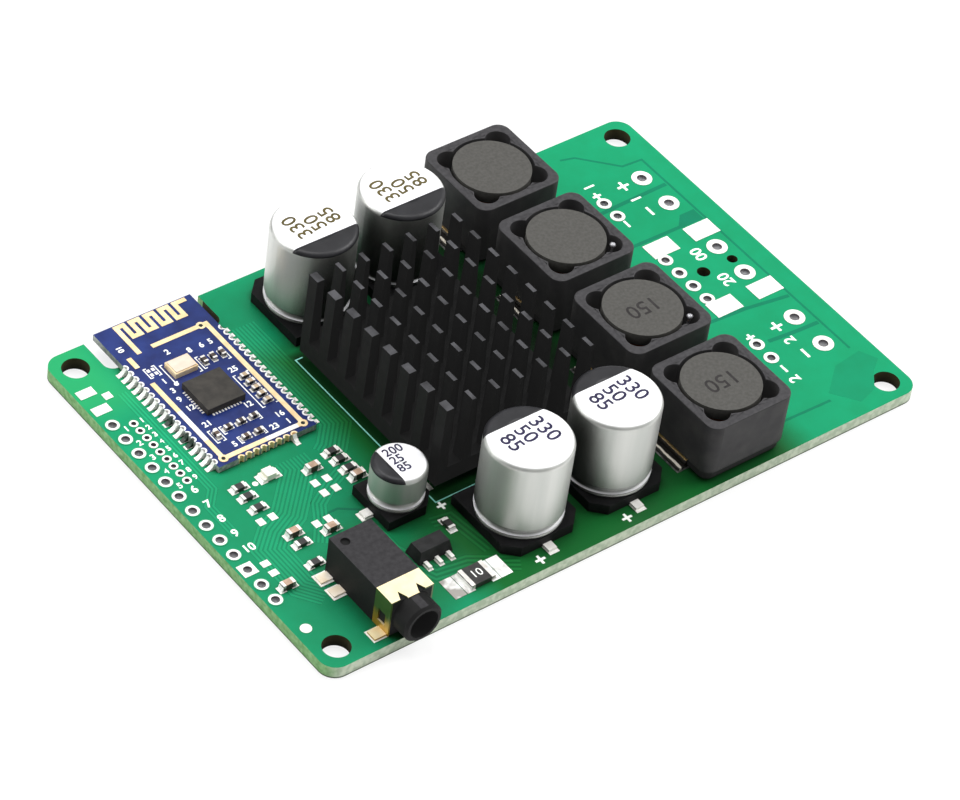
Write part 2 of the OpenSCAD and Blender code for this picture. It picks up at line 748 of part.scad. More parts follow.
// Castellated pads: middle on the module's edge, and the turn that points outwards
castellation_land_l = 1.8;
castellation_land_mid = 0.1;
castellation_land_share = 0.6;
castellation_rim = 0.08;
castellation_ring_d = castellation_d + 2 * (plating_t + castellation_rim);
side_castellations = concat(
  [for (i = [0 : side_count - 1]) [module_x, back_y - side_start - i * castellation_pitch, 180]],
  [for (i = [0 : side_count - 1]) [module_right, back_y - side_start - i * castellation_pitch, 0]]
);
front_castellations = [for (i = [0 : front_count - 1])
  [module_x + front_start + i * castellation_pitch, module_front, -90]];
castellations = concat(side_castellations, front_castellations);
soldered_castellations = concat(side_castellations, [front_castellations[front_count - 1]]);

// Ground track vias, from the module's left side and back edge
via_places = [[frame_right - 0.7, frame_back], [frame_inset, frame_front], [frame_right, frame_front]];

module module_board() {
  color("#2d3c96") difference() {
    translate([module_x, module_front, seat_z]) cube([module_w, module_l, module_t]);
    for (p = castellations) translate([p[0], p[1], seat_z - cut])
      cylinder(d = castellation_d + 2 * plating_t, h = module_t + 2 * cut);
    for (v = via_places) at_each([on_module(v)], seat_z - cut) cylinder(d = via_d, h = module_t + 2 * cut);
  }
}

// Half barrels with a half ring on top, cut off at the module's edge
module module_castellations() {
  color("gold") for (p = castellations) translate([p[0], p[1], seat_z]) rotate([0, 0, p[2]])
    difference() {
      union() {
        cylinder(d = castellation_d + 2 * plating_t, h = module_t);
        translate([0, 0, module_t]) cylinder(d = castellation_ring_d, h = track_t);
      }
      translate([0, 0, -cut]) cylinder(d = castellation_d, h = module_t + 2 * cut);
      translate([0, -castellation_ring_d, -cut])
        cube([castellation_ring_d, 2 * castellation_ring_d, module_t + 2 * cut]);
    }
}

// Meander antenna: a feed line, then folds to the right along the back edge
antenna_feed_x = 2.7;
antenna_feed_l = 5.2;
antenna_fold_l = 2.7;
antenna_fold_pitch = 0.98;
antenna_folds = 8;
antenna_margin = 0.15;
module module_antenna() {
  y0 = antenna_margin;
  color("gold") translate([module_x, back_y, module_top]) linear_extrude(track_t) mirror([0, 1]) {
    translate([antenna_feed_x - track_w / 2, y0]) square([track_w, antenna_feed_l - y0]);
    for (i = [0 : antenna_folds]) translate([antenna_feed_x + i * antenna_fold_pitch, y0]) {
      translate([-track_w / 2, 0]) square([track_w, antenna_fold_l]);
      if (i < antenna_folds)
        translate([-track_w / 2, i % 2 == 0 ? 0 : antenna_fold_l - track_w])
          square([antenna_fold_pitch + track_w, track_w]);
    }
    translate([antenna_feed_x + antenna_folds * antenna_fold_pitch - track_w / 2, y0])
      square([module_w - antenna_feed_x - antenna_folds * antenna_fold_pitch - track_w, track_w]);
  }
}

// Ground track: bars along the module's sides with a ring at each via
back_bar_x = 4.5;
short_bar = [5.2, 1.8];
left_bar_y = 9.8;
module module_ground_track() {
  half = track_w / 2;
  color("gold") translate([module_x, back_y, module_top]) linear_extrude(track_t) mirror([0, 1])
    difference() {
      union() {
        translate([back_bar_x, frame_back - half]) square([frame_right - back_bar_x + half, track_w]);
        translate([frame_right - half, frame_back]) square([track_w, frame_front - frame_back]);
        translate([frame_inset - half, left_bar_y]) square([track_w, frame_front - left_bar_y]);
        translate([frame_inset - half, short_bar[0]]) square([track_w, short_bar[1]]);
        translate([frame_inset, frame_front - half]) square([frame_right - frame_inset, track_w]);
        for (v = via_places) translate(v) circle(d = via_ring_d);
      }
      for (v = via_places) translate(v) circle(d = via_d);
    }
}

// Flat no-lead chip on its ring of lands
chip_land_pitch = 0.4;
chip_land_l = 0.6;
chip_land_w = 0.2;
module module_chip() {
  color("#3a3a38") at_each([on_module(module_chip_place)], module_top + track_t)
    block([module_chip_side, module_chip_side, module_chip_h]);
}

module module_chip_lands() {
  count = floor((module_chip_side - 2 * chip_land_l) / chip_land_pitch) + 1;
  color("gainsboro") at_each([on_module(module_chip_place)], module_top)
    for (turn = [0 : 90 : 270], i = [0 : count - 1]) rotate([0, 0, turn])
      translate([module_chip_side / 2, (i - (count - 1) / 2) * chip_land_pitch, 0])
        block([chip_land_l, chip_land_w, track_t]);
}

module module_crystal() {
  color("goldenrod") at_each([on_module(crystal_place)], module_top) block(crystal_size);
}

crystal_rim = 0.15;
module module_crystal_lid() {
  color("antiquewhite") at_each([on_module(crystal_place)], module_top + crystal_size[2])
    block([crystal_size[0] - 2 * crystal_rim, crystal_size[1] - 2 * crystal_rim, crystal_lid_t]);
}

// Ceramic middle of a chip part
module chip_body(l, w, h, end_l) {
  block([l - 2 * end_l, w, h]);
}

// Tinned ends of a chip part
module chip_end_pair(l, w, h, end_l) {
  for (side = [-1, 1]) translate([side * (l - end_l) / 2, 0, 0]) block([end_l, w, h]);
}

tiny_end_l = 0.25;
module_tiny = [for (p = tiny_places) concat(on_module(p), p[2])];
module module_parts() {
  color("tan") at_places(module_tiny, module_top) chip_body(tiny_l, tiny_w, tiny_h, tiny_end_l);
}

module module_part_ends() {
  color("gainsboro") at_places(module_tiny, module_top) chip_end_pair(tiny_l, tiny_w, tiny_h, tiny_end_l);
}

// A hollow-faced wedge of solder against an upright face at x = 0
wedge_waist = 0.4;
module solder_wedge(reach, width, height) {
  translate([0, width / 2, 0]) rotate([90, 0, 0]) linear_extrude(width)
    polygon([[0, 0], [reach, 0], [reach * wedge_waist, height * wedge_waist], [0, height]]);
}

// Solder on each soldered pad, from the land up into the half hole
module_solder_reach = 0.8;
module module_solder() {
  color("white") at_places(soldered_castellations, seat_z)
    solder_wedge(module_solder_reach, castellation_d, module_t);
}

// Audio jack: housing with barrel and plug bore, front shell, two contacts with feet
jack_axis_z = seat_z + jack_h / 2;
bore_end_wall = 0.8;
contact_t = 0.2;
contact_wall = 0.3;
contact_x = plug_bore_d / 2 + contact_wall;
contact_clear = 0.05;
contact_h = 2.6;
contact_w = 1.2;
contact_y = [jack_back - 0.8, jack_back - 3.1];
foot_w = 1.4;
foot_l = 1.5;
foot_t = 0.2;
foot_mid_x = jack_x - jack_w / 2 - foot_l / 2;
shell_foot_y = shell_front + 0.9;
dimple_d = 1.1;
dimple_depth = 0.3;
dimple_place = [jack_x - jack_w / 2 + 1.2, jack_back - 1.3];
module jack_housing() {
  bore_l = barrel_l + shell_l + jack_l - bore_end_wall;
  color("#333336") difference() {
    union() {
      translate([jack_x - jack_w / 2, shell_back, seat_z]) cube([jack_w, jack_l, jack_h]);
      translate([jack_x - jack_w / 2 + shell_t, shell_front, seat_z])
        cube([jack_w - 2 * shell_t, shell_l, jack_h - shell_t]);
      translate([jack_x, shell_front, jack_axis_z]) rotate([90, 0, 0]) barrel();
    }
    translate([jack_x, barrel_tip_y - cut, jack_axis_z]) rotate([-90, 0, 0])
      cylinder(d = plug_bore_d, h = bore_l + cut);
    for (y = contact_y) contact_slot(y);
    at_each([dimple_place], seat_z + jack_h - dimple_depth) cylinder(d = dimple_d, h = dimple_depth + cut);
    shell_tongue();
  }
}

// Round nose of the housing with a chamfered rim
module barrel() {
  plain_l = barrel_l - barrel_chamfer;
  cylinder(d = barrel_d, h = plain_l);
  translate([0, 0, plain_l]) cylinder(d1 = barrel_d, d2 = barrel_d - 2 * barrel_chamfer, h = barrel_chamfer);
}

// Room in the housing's wall for one contact blade and its foot
module contact_slot(y) {
  w = contact_w + 2 * contact_clear;
  translate([jack_x - contact_x - contact_t / 2, y, seat_z - cut])
    block([contact_t + 2 * contact_clear, w, contact_h + contact_clear + cut]);
  translate([jack_x - jack_w / 2 - cut, y - w / 2, seat_z - cut])
    cube([jack_w / 2 - contact_x + cut, w, foot_t + contact_clear + cut]);
}

// Folded front shell: roof with two V notches, side plates with a window, a foot and a front tongue
notch_w = 0.9;
notch_d = 1.1;
tongue_w = 1.5;
tongue_drop = 0.6;
window = [1.2, 1.6];
window_z = 1;
module shell_tongue() {
  translate([jack_x, shell_front - shell_t / 2, seat_z + jack_h - tongue_drop])
    block([tongue_w, shell_t, tongue_drop]);
}

module v_notch() {
  polygon([[-notch_w / 2, -cut], [notch_w / 2, -cut], [notch_w / 2, 0], [0, notch_d], [-notch_w / 2, 0]]);
}

module jack_shell() {
  left = jack_x - jack_w / 2;
  middle = shell_front + shell_l / 2;
  roof_z = seat_z + jack_h - shell_t;
  color("gold") {
    difference() {
      union() {
        translate([left, shell_front, roof_z]) cube([jack_w, shell_l, shell_t]);
        for (side = [-1, 1]) translate([jack_x + side * (jack_w - shell_t) / 2, middle, seat_z])
          block([shell_t, shell_l, jack_h]);
      }
      for (side = [-1, 1]) translate([jack_x + side * (tongue_w + notch_w) / 2, shell_front, roof_z - cut])
        linear_extrude(shell_t + 2 * cut) v_notch();
      translate([left - cut, middle - window[0] / 2, seat_z + window_z])
        cube([jack_w / 2, window[0], window[1]]);
    }
    shell_tongue();
    translate([left - foot_l / 2, shell_foot_y, seat_z]) block([foot_l, foot_w, foot_t]);
  }
}

// Contact blades in the housing's wall, each with a foot on the board
module jack_contacts() {
  color("gold") for (y = contact_y) {
    translate([jack_x - contact_x - contact_t / 2, y, seat_z]) block([contact_t, contact_w, contact_h]);
    translate([jack_x - jack_w / 2 - foot_l, y - contact_w / 2, seat_z])
      cube([foot_l + jack_w / 2 - contact_x - contact_t, contact_w, foot_t]);
  }
}

// Regulator with drafted sides, three leads in front and a tab behind
regulator_draft = 0.35;
regulator_lead_w = 0.45;
regulator_lead_t = 0.35;
regulator_lead_out = 1;
regulator_tab_w = 1.7;
regulator_tab_out = 0.4;
regulator_land_y = regulator_d / 2 + regulator_lead_out / 2;
regulator_tab_y = regulator_d / 2 + regulator_tab_out / 2;
module draft_profile(w) {
  top = w / 2 - regulator_draft;
  polygon([[-w / 2, 0], [w / 2, 0], [top, regulator_h], [-top, regulator_h]]);
}

module regulator_body() {
  color("#2c2c2c") translate([regulator_x, regulator_y, seat_z]) intersection() {
    translate([0, regulator_d, 0]) rotate([90, 0, 0]) linear_extrude(2 * regulator_d)
      draft_profile(regulator_w);
    rotate([90, 0, 90]) translate([0, 0, -regulator_w]) linear_extrude(2 * regulator_w)
      draft_profile(regulator_d);
  }
}

module regulator_leads() {
  color("gainsboro") translate([regulator_x, regulator_y, seat_z]) {
    for (i = [-1 : 1]) translate([i * regulator_pitch, -regulator_land_y, 0])
      block([regulator_lead_w, regulator_lead_out, regulator_lead_t]);
    translate([0, regulator_tab_y, 0]) block([regulator_tab_w, regulator_tab_out, regulator_lead_t]);
  }
}

wide_end_l = 0.5;
module wide_resistor() {
  color("#262626") at_each([[wide_x, wide_y]], seat_z) chip_body(wide_l, wide_w, wide_h, wide_end_l);
}

module chip_resistors() {
  color("#303030") at_places(chip_resistor_places, seat_z)
    chip_body(chip_l, chip_w, chip_resistor_h, chip_end_l);
}

module chip_capacitors() {
  color("tan") at_places(chip_capacitor_places, seat_z)
    chip_body(chip_l, chip_w, chip_capacitor_h, chip_end_l);
}

module chip_ends() {
  color("gainsboro") {
    at_places(chip_resistor_places, seat_z) chip_end_pair(chip_l, chip_w, chip_resistor_h, chip_end_l);
    at_places(chip_capacitor_places, seat_z) chip_end_pair(chip_l, chip_w, chip_capacitor_h, chip_end_l);
    at_each([[wide_x, wide_y]], seat_z) chip_end_pair(wide_l, wide_w, wide_h, wide_end_l);
  }
}

// Solder against the ends of every chip part
chip_solder_reach = 0.3;
module solder_pair(l, w, h) {
  for (turn = [0, 180]) rotate([0, 0, turn]) translate([l / 2, 0, 0]) solder_wedge(chip_solder_reach, w, h);
}

solder_share = 0.7;
module chip_solder() {
  color("white") {
    at_places(chip_resistor_places, seat_z) solder_pair(chip_l, chip_w, chip_resistor_h * solder_share);
    at_places(chip_capacitor_places, seat_z) solder_pair(chip_l, chip_w, chip_capacitor_h * solder_share);
    at_each([[wide_x, wide_y]], seat_z) solder_pair(wide_l, wide_w, wide_h * solder_share);
    at_each([led_place], seat_z) solder_pair(led_size[0], led_size[1], led_size[2] / 2 * solder_share);
  }
}

// Indicator: a base with a narrower lens on it
led_end_l = 0.4;
module indicator_led() {
  base_h = led_size[2] / 2;
  lens_l = led_size[0] - 2 * led_end_l;
  color("ivory") at_each([led_place], seat_z) {
    block([led_size[0], led_size[1], base_h]);
    translate([0, 0, base_h]) block([lens_l, led_size[1], base_h]);
  }
}

circuit_board();
header_plating();
terminal_plating();
speaker_plating();
bare_lands();
part_lands();
heatsink();
thermal_pad();
amplifier_chip();
amplifier_leads();
capacitor_can(0);  // capacitor_can_1
capacitor_can(1);  // capacitor_can_2
capacitor_can(2);  // capacitor_can_3
capacitor_can(3);  // capacitor_can_4
capacitor_base(0);  // capacitor_base_1
capacitor_base(1);  // capacitor_base_2
capacitor_base(2);  // capacitor_base_3
capacitor_base(3);  // capacitor_base_4
capacitor_leads();
small_capacitor_can();
small_capacitor_base();
inductor_shield(0);  // inductor_shield_1
inductor_shield(1);  // inductor_shield_2
inductor_shield(2);  // inductor_shield_3
inductor_shield(3);  // inductor_shield_4
inductor_drum(0);  // inductor_drum_1
inductor_drum(1);  // inductor_drum_2
inductor_drum(2);  // inductor_drum_3
inductor_drum(3);  // inductor_drum_4
inductor_winding(0);  // inductor_winding_1
inductor_winding(1);  // inductor_winding_2
inductor_winding(2);  // inductor_winding_3
inductor_winding(3);  // inductor_winding_4
inductor_terminals(0);  // inductor_terminals_1
inductor_terminals(1);  // inductor_terminals_2
inductor_terminals(2);  // inductor_terminals_3
inductor_terminals(3);  // inductor_terminals_4
module_board();
module_castellations();
module_antenna();
module_ground_track();
module_chip();
module_chip_lands();
module_crystal();
module_crystal_lid();
module_parts();
module_part_ends();
module_solder();
jack_housing();
jack_shell();
jack_contacts();
regulator_body();
regulator_leads();
wide_resistor();
chip_resistors();
chip_capacitors();
chip_ends();
chip_solder();
indicator_led();
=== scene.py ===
"""Looks of the audio amplifier board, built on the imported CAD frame.

The frame is in metres. Places and sizes here are in millimetres from the middle of the board, unless a
comment says otherwise, and MM turns them into metres.
"""
import bpy
import math
from mathutils import Matrix, Vector


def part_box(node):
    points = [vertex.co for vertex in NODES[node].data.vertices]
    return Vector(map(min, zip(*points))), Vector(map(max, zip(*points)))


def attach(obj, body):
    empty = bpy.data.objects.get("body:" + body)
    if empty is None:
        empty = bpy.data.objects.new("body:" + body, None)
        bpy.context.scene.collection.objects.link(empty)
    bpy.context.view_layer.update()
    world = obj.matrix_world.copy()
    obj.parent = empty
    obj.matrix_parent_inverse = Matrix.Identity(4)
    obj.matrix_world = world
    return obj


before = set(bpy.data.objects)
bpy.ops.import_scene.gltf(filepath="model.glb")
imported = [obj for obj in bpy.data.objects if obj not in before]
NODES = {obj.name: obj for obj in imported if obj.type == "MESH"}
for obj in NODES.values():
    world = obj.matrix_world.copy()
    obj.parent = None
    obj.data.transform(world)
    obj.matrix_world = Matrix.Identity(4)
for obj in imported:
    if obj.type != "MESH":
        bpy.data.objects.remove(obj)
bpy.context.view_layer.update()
MM = 0.001


def lin(r, g, b):
    """8-bit display colour as a linear RGBA tuple."""
    def one(c):
        """One channel."""
        c /= 255.0
        return c / 12.92 if c <= 0.04045 else ((c + 0.055) / 1.055) ** 2.4
    return (one(r), one(g), one(b), 1.0)


def span(node):
    """Low and high corner of a CAD node's box, in millimetres."""
    lo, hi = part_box(node)
    return [v / MM for v in lo], [v / MM for v in hi]


def mid(node):
    """Middle of a CAD node's box, in millimetres."""
    lo, hi = span(node)
    return [(a + b) / 2 for a, b in zip(lo, hi)]


def top_of(node):
    """Height of a CAD node's highest point, in millimetres."""
    return span(node)[1][2]


def numbered(stem):
    """Names of the four like nodes that share a stem."""
    return ["%s_%d" % (stem, i) for i in range(1, 5)]


# Places that come from the frame

BOARD_HI = span("circuit_board")[1]
BOARD_TOP = round(BOARD_HI[2], 3)
MODULE_LO, MODULE_HI = span("module_board")
MODULE_TOP = top_of("module_board")
HEADER_LO, HEADER_HI = span("header_plating")

# Rows of plated holes beside the module; the square pad is counted from the back, and the first is 0

HEADER_PITCH = 2.54
CONSOLE_PITCH = 1.27
RING_R = 0.9
BARE_RING_R = 0.79
HEADER_X = HEADER_LO[0] + RING_R
HEADER_FIRST_Y = HEADER_HI[1] - RING_R
SQUARE_PAD = 10
CONSOLE_FIRST_Y = HEADER_HI[1] - 1.9

# Parts of the board whose colour is changed, several by painted light and shade: x from and to, y from and
# to, width of the soft edge

CHIP_FIELD = (-40.0, -15.0, -26.0, 1.0, 5.0)
# Painted light: the back left corner is mixed halfway towards a lit green.
LIT_BACK_CORNER = (-42.0, -37.5, 19.0, 28.0, 4.0)
# Painted shade round the regulator and beside the jack.
REGULATOR_SHADE = (-26.5, -15.0, -23.5, -12.5, 3.0)
# Partly a darker copper pour and partly painted shade round the heatsink, inductors and cans.
POWER_POUR_AND_SHADE = (-18.0, 21.0, -27.2, 13.0, 4.8)
# Painted shadow under the heatsink and between it and the inductors.
SHADOW_UNDER_HEATSINK = (-16.5, 9.5, -13.0, 13.0, 1.2)
SHADOW_BESIDE_HEATSINK = (4.5, 9.5, -13.0, 23.0, 2.5)
INDUCTOR_FIELD = (6.5, 25.0, -26.0, 26.0, 0.2)
WIDE_RESISTOR_FIELD = (-24.5, -15.5, -26.5, -22.0, 0.2)
MODULE_COLUMN = (-24.8, -23.1, 7.5, 14.0, 0.1)
# Unsoldered pads in the module's left row, painted as the shadow under the module's edge.
DRY_JOINTS = [
    (MODULE_LO[0] - 2.0, MODULE_LO[0] + 1.0, 11.4, 12.25, 0.02),
    (MODULE_LO[0] - 2.0, MODULE_LO[0] + 1.0, 7.4, 9.25, 0.02),
]
RIM = 0.95

# Thicknesses of print and of what lies under the mask

PRINT_T = 0.012
STAMP_T = 0.006
TRACK_T = 0.008
GROUND_T = 0.004
GAP_T = 0.006

# Colours that several materials share

MASK_GREENS = (lin(12, 136, 92), lin(18, 143, 98))
# The darker pour green, also mixed in as painted shade.
MASK_DEEP = lin(20, 92, 40)
DIM_GREEN = lin(8, 60, 36)
LIT_GREEN = lin(44, 160, 92)
SHADOW_GREEN = lin(16, 26, 16)
BRIGHT_TIN = (lin(238, 236, 232), lin(224, 222, 216))
WET_TIN = (lin(252, 251, 248), lin(236, 235, 230))
MODULE_GOLD = (lin(240, 208, 156), lin(252, 228, 184))


# Materials

class Shader:
    """A principled material that is built from a few procedural steps."""

    def __init__(self, name, rough=0.5, metal=0.0, spec=0.5):
        self.mat = bpy.data.materials.new(name)
        self.mat.use_nodes = True
        self.adopt(self.mat)
        self.bsdf.inputs["Roughness"].default_value = rough
        self.bsdf.inputs["Metallic"].default_value = metal
        self.bsdf.inputs["Specular IOR Level"].default_value = spec

    def adopt(self, mat):
        """Work on the nodes of one material."""
        self.mat = mat
        self.tree = mat.node_tree
        self.bsdf = next(n for n in self.tree.nodes if n.type == "BSDF_PRINCIPLED")
        self.geo = self.node("ShaderNodeNewGeometry")

    @classmethod
    def wrap(cls, mat):
        """A shader over a material that is already made."""
        s = cls.__new__(cls)
        s.adopt(mat)
        return s

    def node(self, kind, **values):
        """A new node with some of its settings."""
        n = self.tree.nodes.new(kind)
        for k, v in values.items():
            setattr(n, k, v)
        return n

    def link(self, a, b):
        """Join an output to an input."""
        self.tree.links.new(a, b)

    def feed(self, socket, value):
        """Give an input a number or colour, or join it to an output."""
        if isinstance(value, (int, float, tuple, list)):
            socket.default_value = value
        else:
            self.link(value, socket)

    def math(self, op, a, b=0.0):
        """One step of arithmetic."""
        n = self.node("ShaderNodeMath", operation=op)
        self.feed(n.inputs[0], a)
        self.feed(n.inputs[1], b)
        return n.outputs[0]

    def axis(self, which, of="Position"):
        """One coordinate of the position or the normal, in metres."""
        n = self.node("ShaderNodeSeparateXYZ")
        self.link(self.geo.outputs[of], n.inputs[0])
        return n.outputs["XYZ".index(which)]

    def off(self, which, centre):
        """Distance from a plane across one axis, in metres."""
        return self.math("ABSOLUTE", self.math("SUBTRACT", self.axis(which), centre * MM))

    def above(self, height):
        """1 above a height in millimetres."""
        return self.math("GREATER_THAN", self.axis("Z"), height * MM)

    def rise(self, low, high):
        """0 below one height and 1 above another, in millimetres."""
        return self.range(self.axis("Z"), low * MM, high * MM)

    def noise(self, scale, detail=3.0, stretch=(1, 1, 1)):
        """Noise in 0..1 over the frame's position; scale counts features a metre."""
        m = self.node("ShaderNodeMapping")
        m.inputs["Scale"].default_value = stretch
        self.link(self.geo.outputs["Position"], m.inputs["Vector"])
        n = self.node("ShaderNodeTexNoise")
        n.inputs["Scale"].default_value = scale
        n.inputs["Detail"].default_value = detail
        self.link(m.outputs[0], n.inputs["Vector"])
        return n.outputs[0]

    def range(self, value, a, b, lo=0.0, hi=1.0):
        """Map a value from a..b to lo..hi, held at both ends."""
        n = self.node("ShaderNodeMapRange", clamp=True)
        for i, v in enumerate((value, a, b, lo, hi)):
            self.feed(n.inputs[i], v)
        return n.outputs[0]

    def mix(self, share, a, b):
        """Colour a, or b where the share is 1."""
        n = self.node("ShaderNodeMix", data_type="RGBA")
        self.feed(n.inputs[0], share)
        self.feed(n.inputs[6], a)
        self.feed(n.inputs[7], b)
        return n.outputs[2]

    def two(self, scale, a, b, lo=0.35, hi=0.65, detail=3.0, stretch=(1, 1, 1)):
        """Two shades mixed by noise."""
        return self.mix(self.range(self.noise(scale, detail, stretch), lo, hi), a, b)

    def color(self, value, even):
        """Base colour from the nodes, and one even colour for viewers that have no nodes."""
        self.bsdf.inputs["Base Color"].default_value = even
        self.feed(self.bsdf.inputs["Base Color"], value)

    def set(self, name, value):
        """Feed one input of the material."""
        self.feed(self.bsdf.inputs[name], value)

    def bump(self, height, strength, depth=0.02):
        """Fine relief; depth is in millimetres."""
        n = self.node("ShaderNodeBump")
        n.inputs["Strength"].default_value = strength
        n.inputs["Distance"].default_value = depth * MM
        self.link(height, n.inputs["Height"])
        self.link(n.outputs[0], self.bsdf.inputs["Normal"])

    def lift(self, level):
        """A faint painted glow of even light, so that black parts never fall to pure black."""
        self.bsdf.inputs["Emission Color"].default_value = (1, 1, 1, 1)
        self.bsdf.inputs["Emission Strength"].default_value = level

    def zone(self, area, share=1.0):
        """The share inside a part of the board, fading to 0 outside it."""
        x0, x1, y0, y1, soft = area
        x, y = self.axis("X"), self.axis("Y")
        away = self.math("MAXIMUM", self.math("SUBTRACT", x0 * MM, x), self.math("SUBTRACT", x, x1 * MM))
        away = self.math("MAXIMUM", away, self.math("SUBTRACT", y0 * MM, y))
        away = self.math("MAXIMUM", away, self.math("SUBTRACT", y, y1 * MM))
        return self.range(away, 0.0, soft * MM, share, 0.0)

    def upright(self):
        """1 on walls, 0 on faces that look up or down."""
        return self.math("LESS_THAN", self.math("ABSOLUTE", self.axis("Z", "Normal")), 0.5)

    def crevice(self, reach):
        """1 in the open, falling towards 0 within reach of taller neighbours; it masks painted shade."""
        n = self.node("ShaderNodeAmbientOcclusion", samples=6)
        n.inputs["Distance"].default_value = reach * MM
        return n.outputs["AO"]


def plain(name, a, b, scale=900, rough=0.5, metal=0.0, spec=0.5, grain=0.0):
    """Two shades mixed by noise, with an optional fine grain."""
    s = Shader(name, rough, metal, spec)
    s.color(s.two(scale, a, b), a)
    if grain:
        s.bump(s.noise(scale * 6, 2.0), grain)
    return s.mat


def mask_shade(s, bright_a, bright_b, deep):
    """Solder mask: pale in the open, with painted light in the back corner, a darker pour and painted shade
    in the power section, painted shade round the regulator and in crevices, and painted shadow under and
    beside the heatsink; even below.
    """
    bright = s.two(55, bright_a, bright_b, 0.3, 0.7, detail=2.0)
    fine = s.two(420, bright, s.mix(0.12, bright, deep), detail=4.0)
    tone = s.mix(s.zone(CHIP_FIELD, 0.22), fine, DIM_GREEN)
    # Painted light on the back corner.
    tone = s.mix(s.zone(LIT_BACK_CORNER, 0.5), tone, LIT_GREEN)
    # Painted shade round the regulator.
    tone = s.mix(s.zone(REGULATOR_SHADE, 0.45), tone, deep)
    # Darker pour and painted shade in the power section.
    tone = s.mix(s.zone(POWER_POUR_AND_SHADE), tone, deep)
    # Painted shadow under and beside the heatsink.
    tone = s.mix(s.zone(SHADOW_UNDER_HEATSINK), tone, SHADOW_GREEN)
    tone = s.mix(s.zone(SHADOW_BESIDE_HEATSINK), tone, SHADOW_GREEN)
    # Painted shade: the mask darkens towards shadow green in crevices beside taller parts.
    open_air = s.range(s.crevice(5.0), 0.35, 0.8)
    tone = s.mix(open_air, s.mix(0.35, SHADOW_GREEN, deep), tone)
    looks_down = s.math("LESS_THAN", s.axis("Z", "Normal"), -0.5)
    return s.mix(looks_down, tone, fine)


def mask_material():
    """Solder mask on both faces; laminate on the cut edges, greener and darker on the edge that faces left
    as painted shade; painted shade on the walls of the drilled holes, darkest at the bottom.
    """
    s = Shader("solder_mask", rough=0.36, spec=0.12)
    face = mask_shade(s, *MASK_GREENS, MASK_DEEP)
    speck = s.noise(1500)
    pale = s.mix(s.range(speck, 0.4, 0.6), lin(158, 172, 150), lin(184, 194, 174))
    green = s.mix(s.range(speck, 0.35, 0.65), lin(98, 142, 88), lin(132, 170, 120))
    # Painted light and shade: the cut edge's colour depends on which way it faces.
    looks_left = s.range(s.axis("X", "Normal"), -0.9, -0.3, 1.0, 0.0)
    edge = s.mix(looks_left, pale, green)
    edge = s.mix(s.rise(0.12, 0.22), lin(70, 84, 64), edge)
    rim_x = s.math("GREATER_THAN", s.off("X", 0.0), (BOARD_HI[0] - RIM) * MM)
    rim_y = s.math("GREATER_THAN", s.off("Y", 0.0), (BOARD_HI[1] - RIM) * MM)
    # Painted shade: the walls of the drilled holes are dark, darkest at the bottom.
    bore = s.mix(s.rise(0.0, BOARD_TOP), lin(26, 26, 18), lin(58, 56, 30))
    wall = s.mix(s.math("MAXIMUM", rim_x, rim_y), bore, edge)
    s.color(s.mix(s.upright(), face, wall), lin(15, 140, 95))
    s.set("Roughness", s.range(s.upright(), 0, 1, 0.3, 0.75))
    s.bump(s.noise(1500, 2.0), 0.05)
    return s.mat


def ridge_material(name, a, b, deep):
    """Mask over tracks or bare laminate, shaded as the board is."""
    s = Shader(name, rough=0.36, spec=0.12)
    s.color(mask_shade(s, a, b, deep), a)
    return s.mat


def tin_material(name, bright, dull):
    """Tinned copper; inside the plated holes the walls are painted grey near the face as shade, and bright
    lower down as painted light.
    """
    s = Shader(name, rough=0.42, metal=0.1)
    face = s.two(1100, dull, bright, detail=2.0)
    # Painted shade and light inside the plated holes: grey near the face, bright lower down.
    wall = s.mix(s.rise(0.9, 1.4), lin(226, 226, 228), lin(96, 92, 96))
    below_face = s.math("LESS_THAN", s.axis("Z"), BOARD_TOP * MM)
    inside = s.math("MULTIPLY", s.upright(), below_face)
    s.color(s.mix(inside, face, wall), bright)
    s.bump(s.noise(2500, 2.0), 0.08)
    return s.mat


def header_material():
    """Tinned header rings whose outer margin lies under the mask; the square one stays bare."""
    mat = tin_material("tin_header", *BRIGHT_TIN)
    s = Shader.wrap(mat)
    pitch = HEADER_PITCH * MM
    dx = s.math("SUBTRACT", s.axis("X"), HEADER_X * MM)
    along = s.math("SUBTRACT", s.axis("Y"), HEADER_FIRST_Y * MM)
    # A whole number of pitches keeps the remainder above 0, and half a pitch centres it on a hole
    along = s.math("ADD", along, 50.5 * pitch)
    dy = s.math("SUBTRACT", s.math("MODULO", along, pitch), 0.5 * pitch)
    r = s.math("SQRT", s.math("ADD", s.math("MULTIPLY", dx, dx), s.math("MULTIPLY", dy, dy)))
    in_margin = s.math("GREATER_THAN", r, BARE_RING_R * MM)
    in_row = s.math("LESS_THAN", s.math("ABSOLUTE", dx), 1.0 * MM)
    square_y = HEADER_FIRST_Y - SQUARE_PAD * HEADER_PITCH
    round_pad = s.math("GREATER_THAN", s.off("Y", square_y), 0.95 * MM)
    covered = s.math("MULTIPLY", s.math("MULTIPLY", in_margin, in_row), round_pad)
    bare = s.bsdf.inputs["Base Color"].links[0].from_socket
    s.color(s.mix(covered, bare, s.two(55, *MASK_GREENS)), lin(232, 230, 225))
    return mat


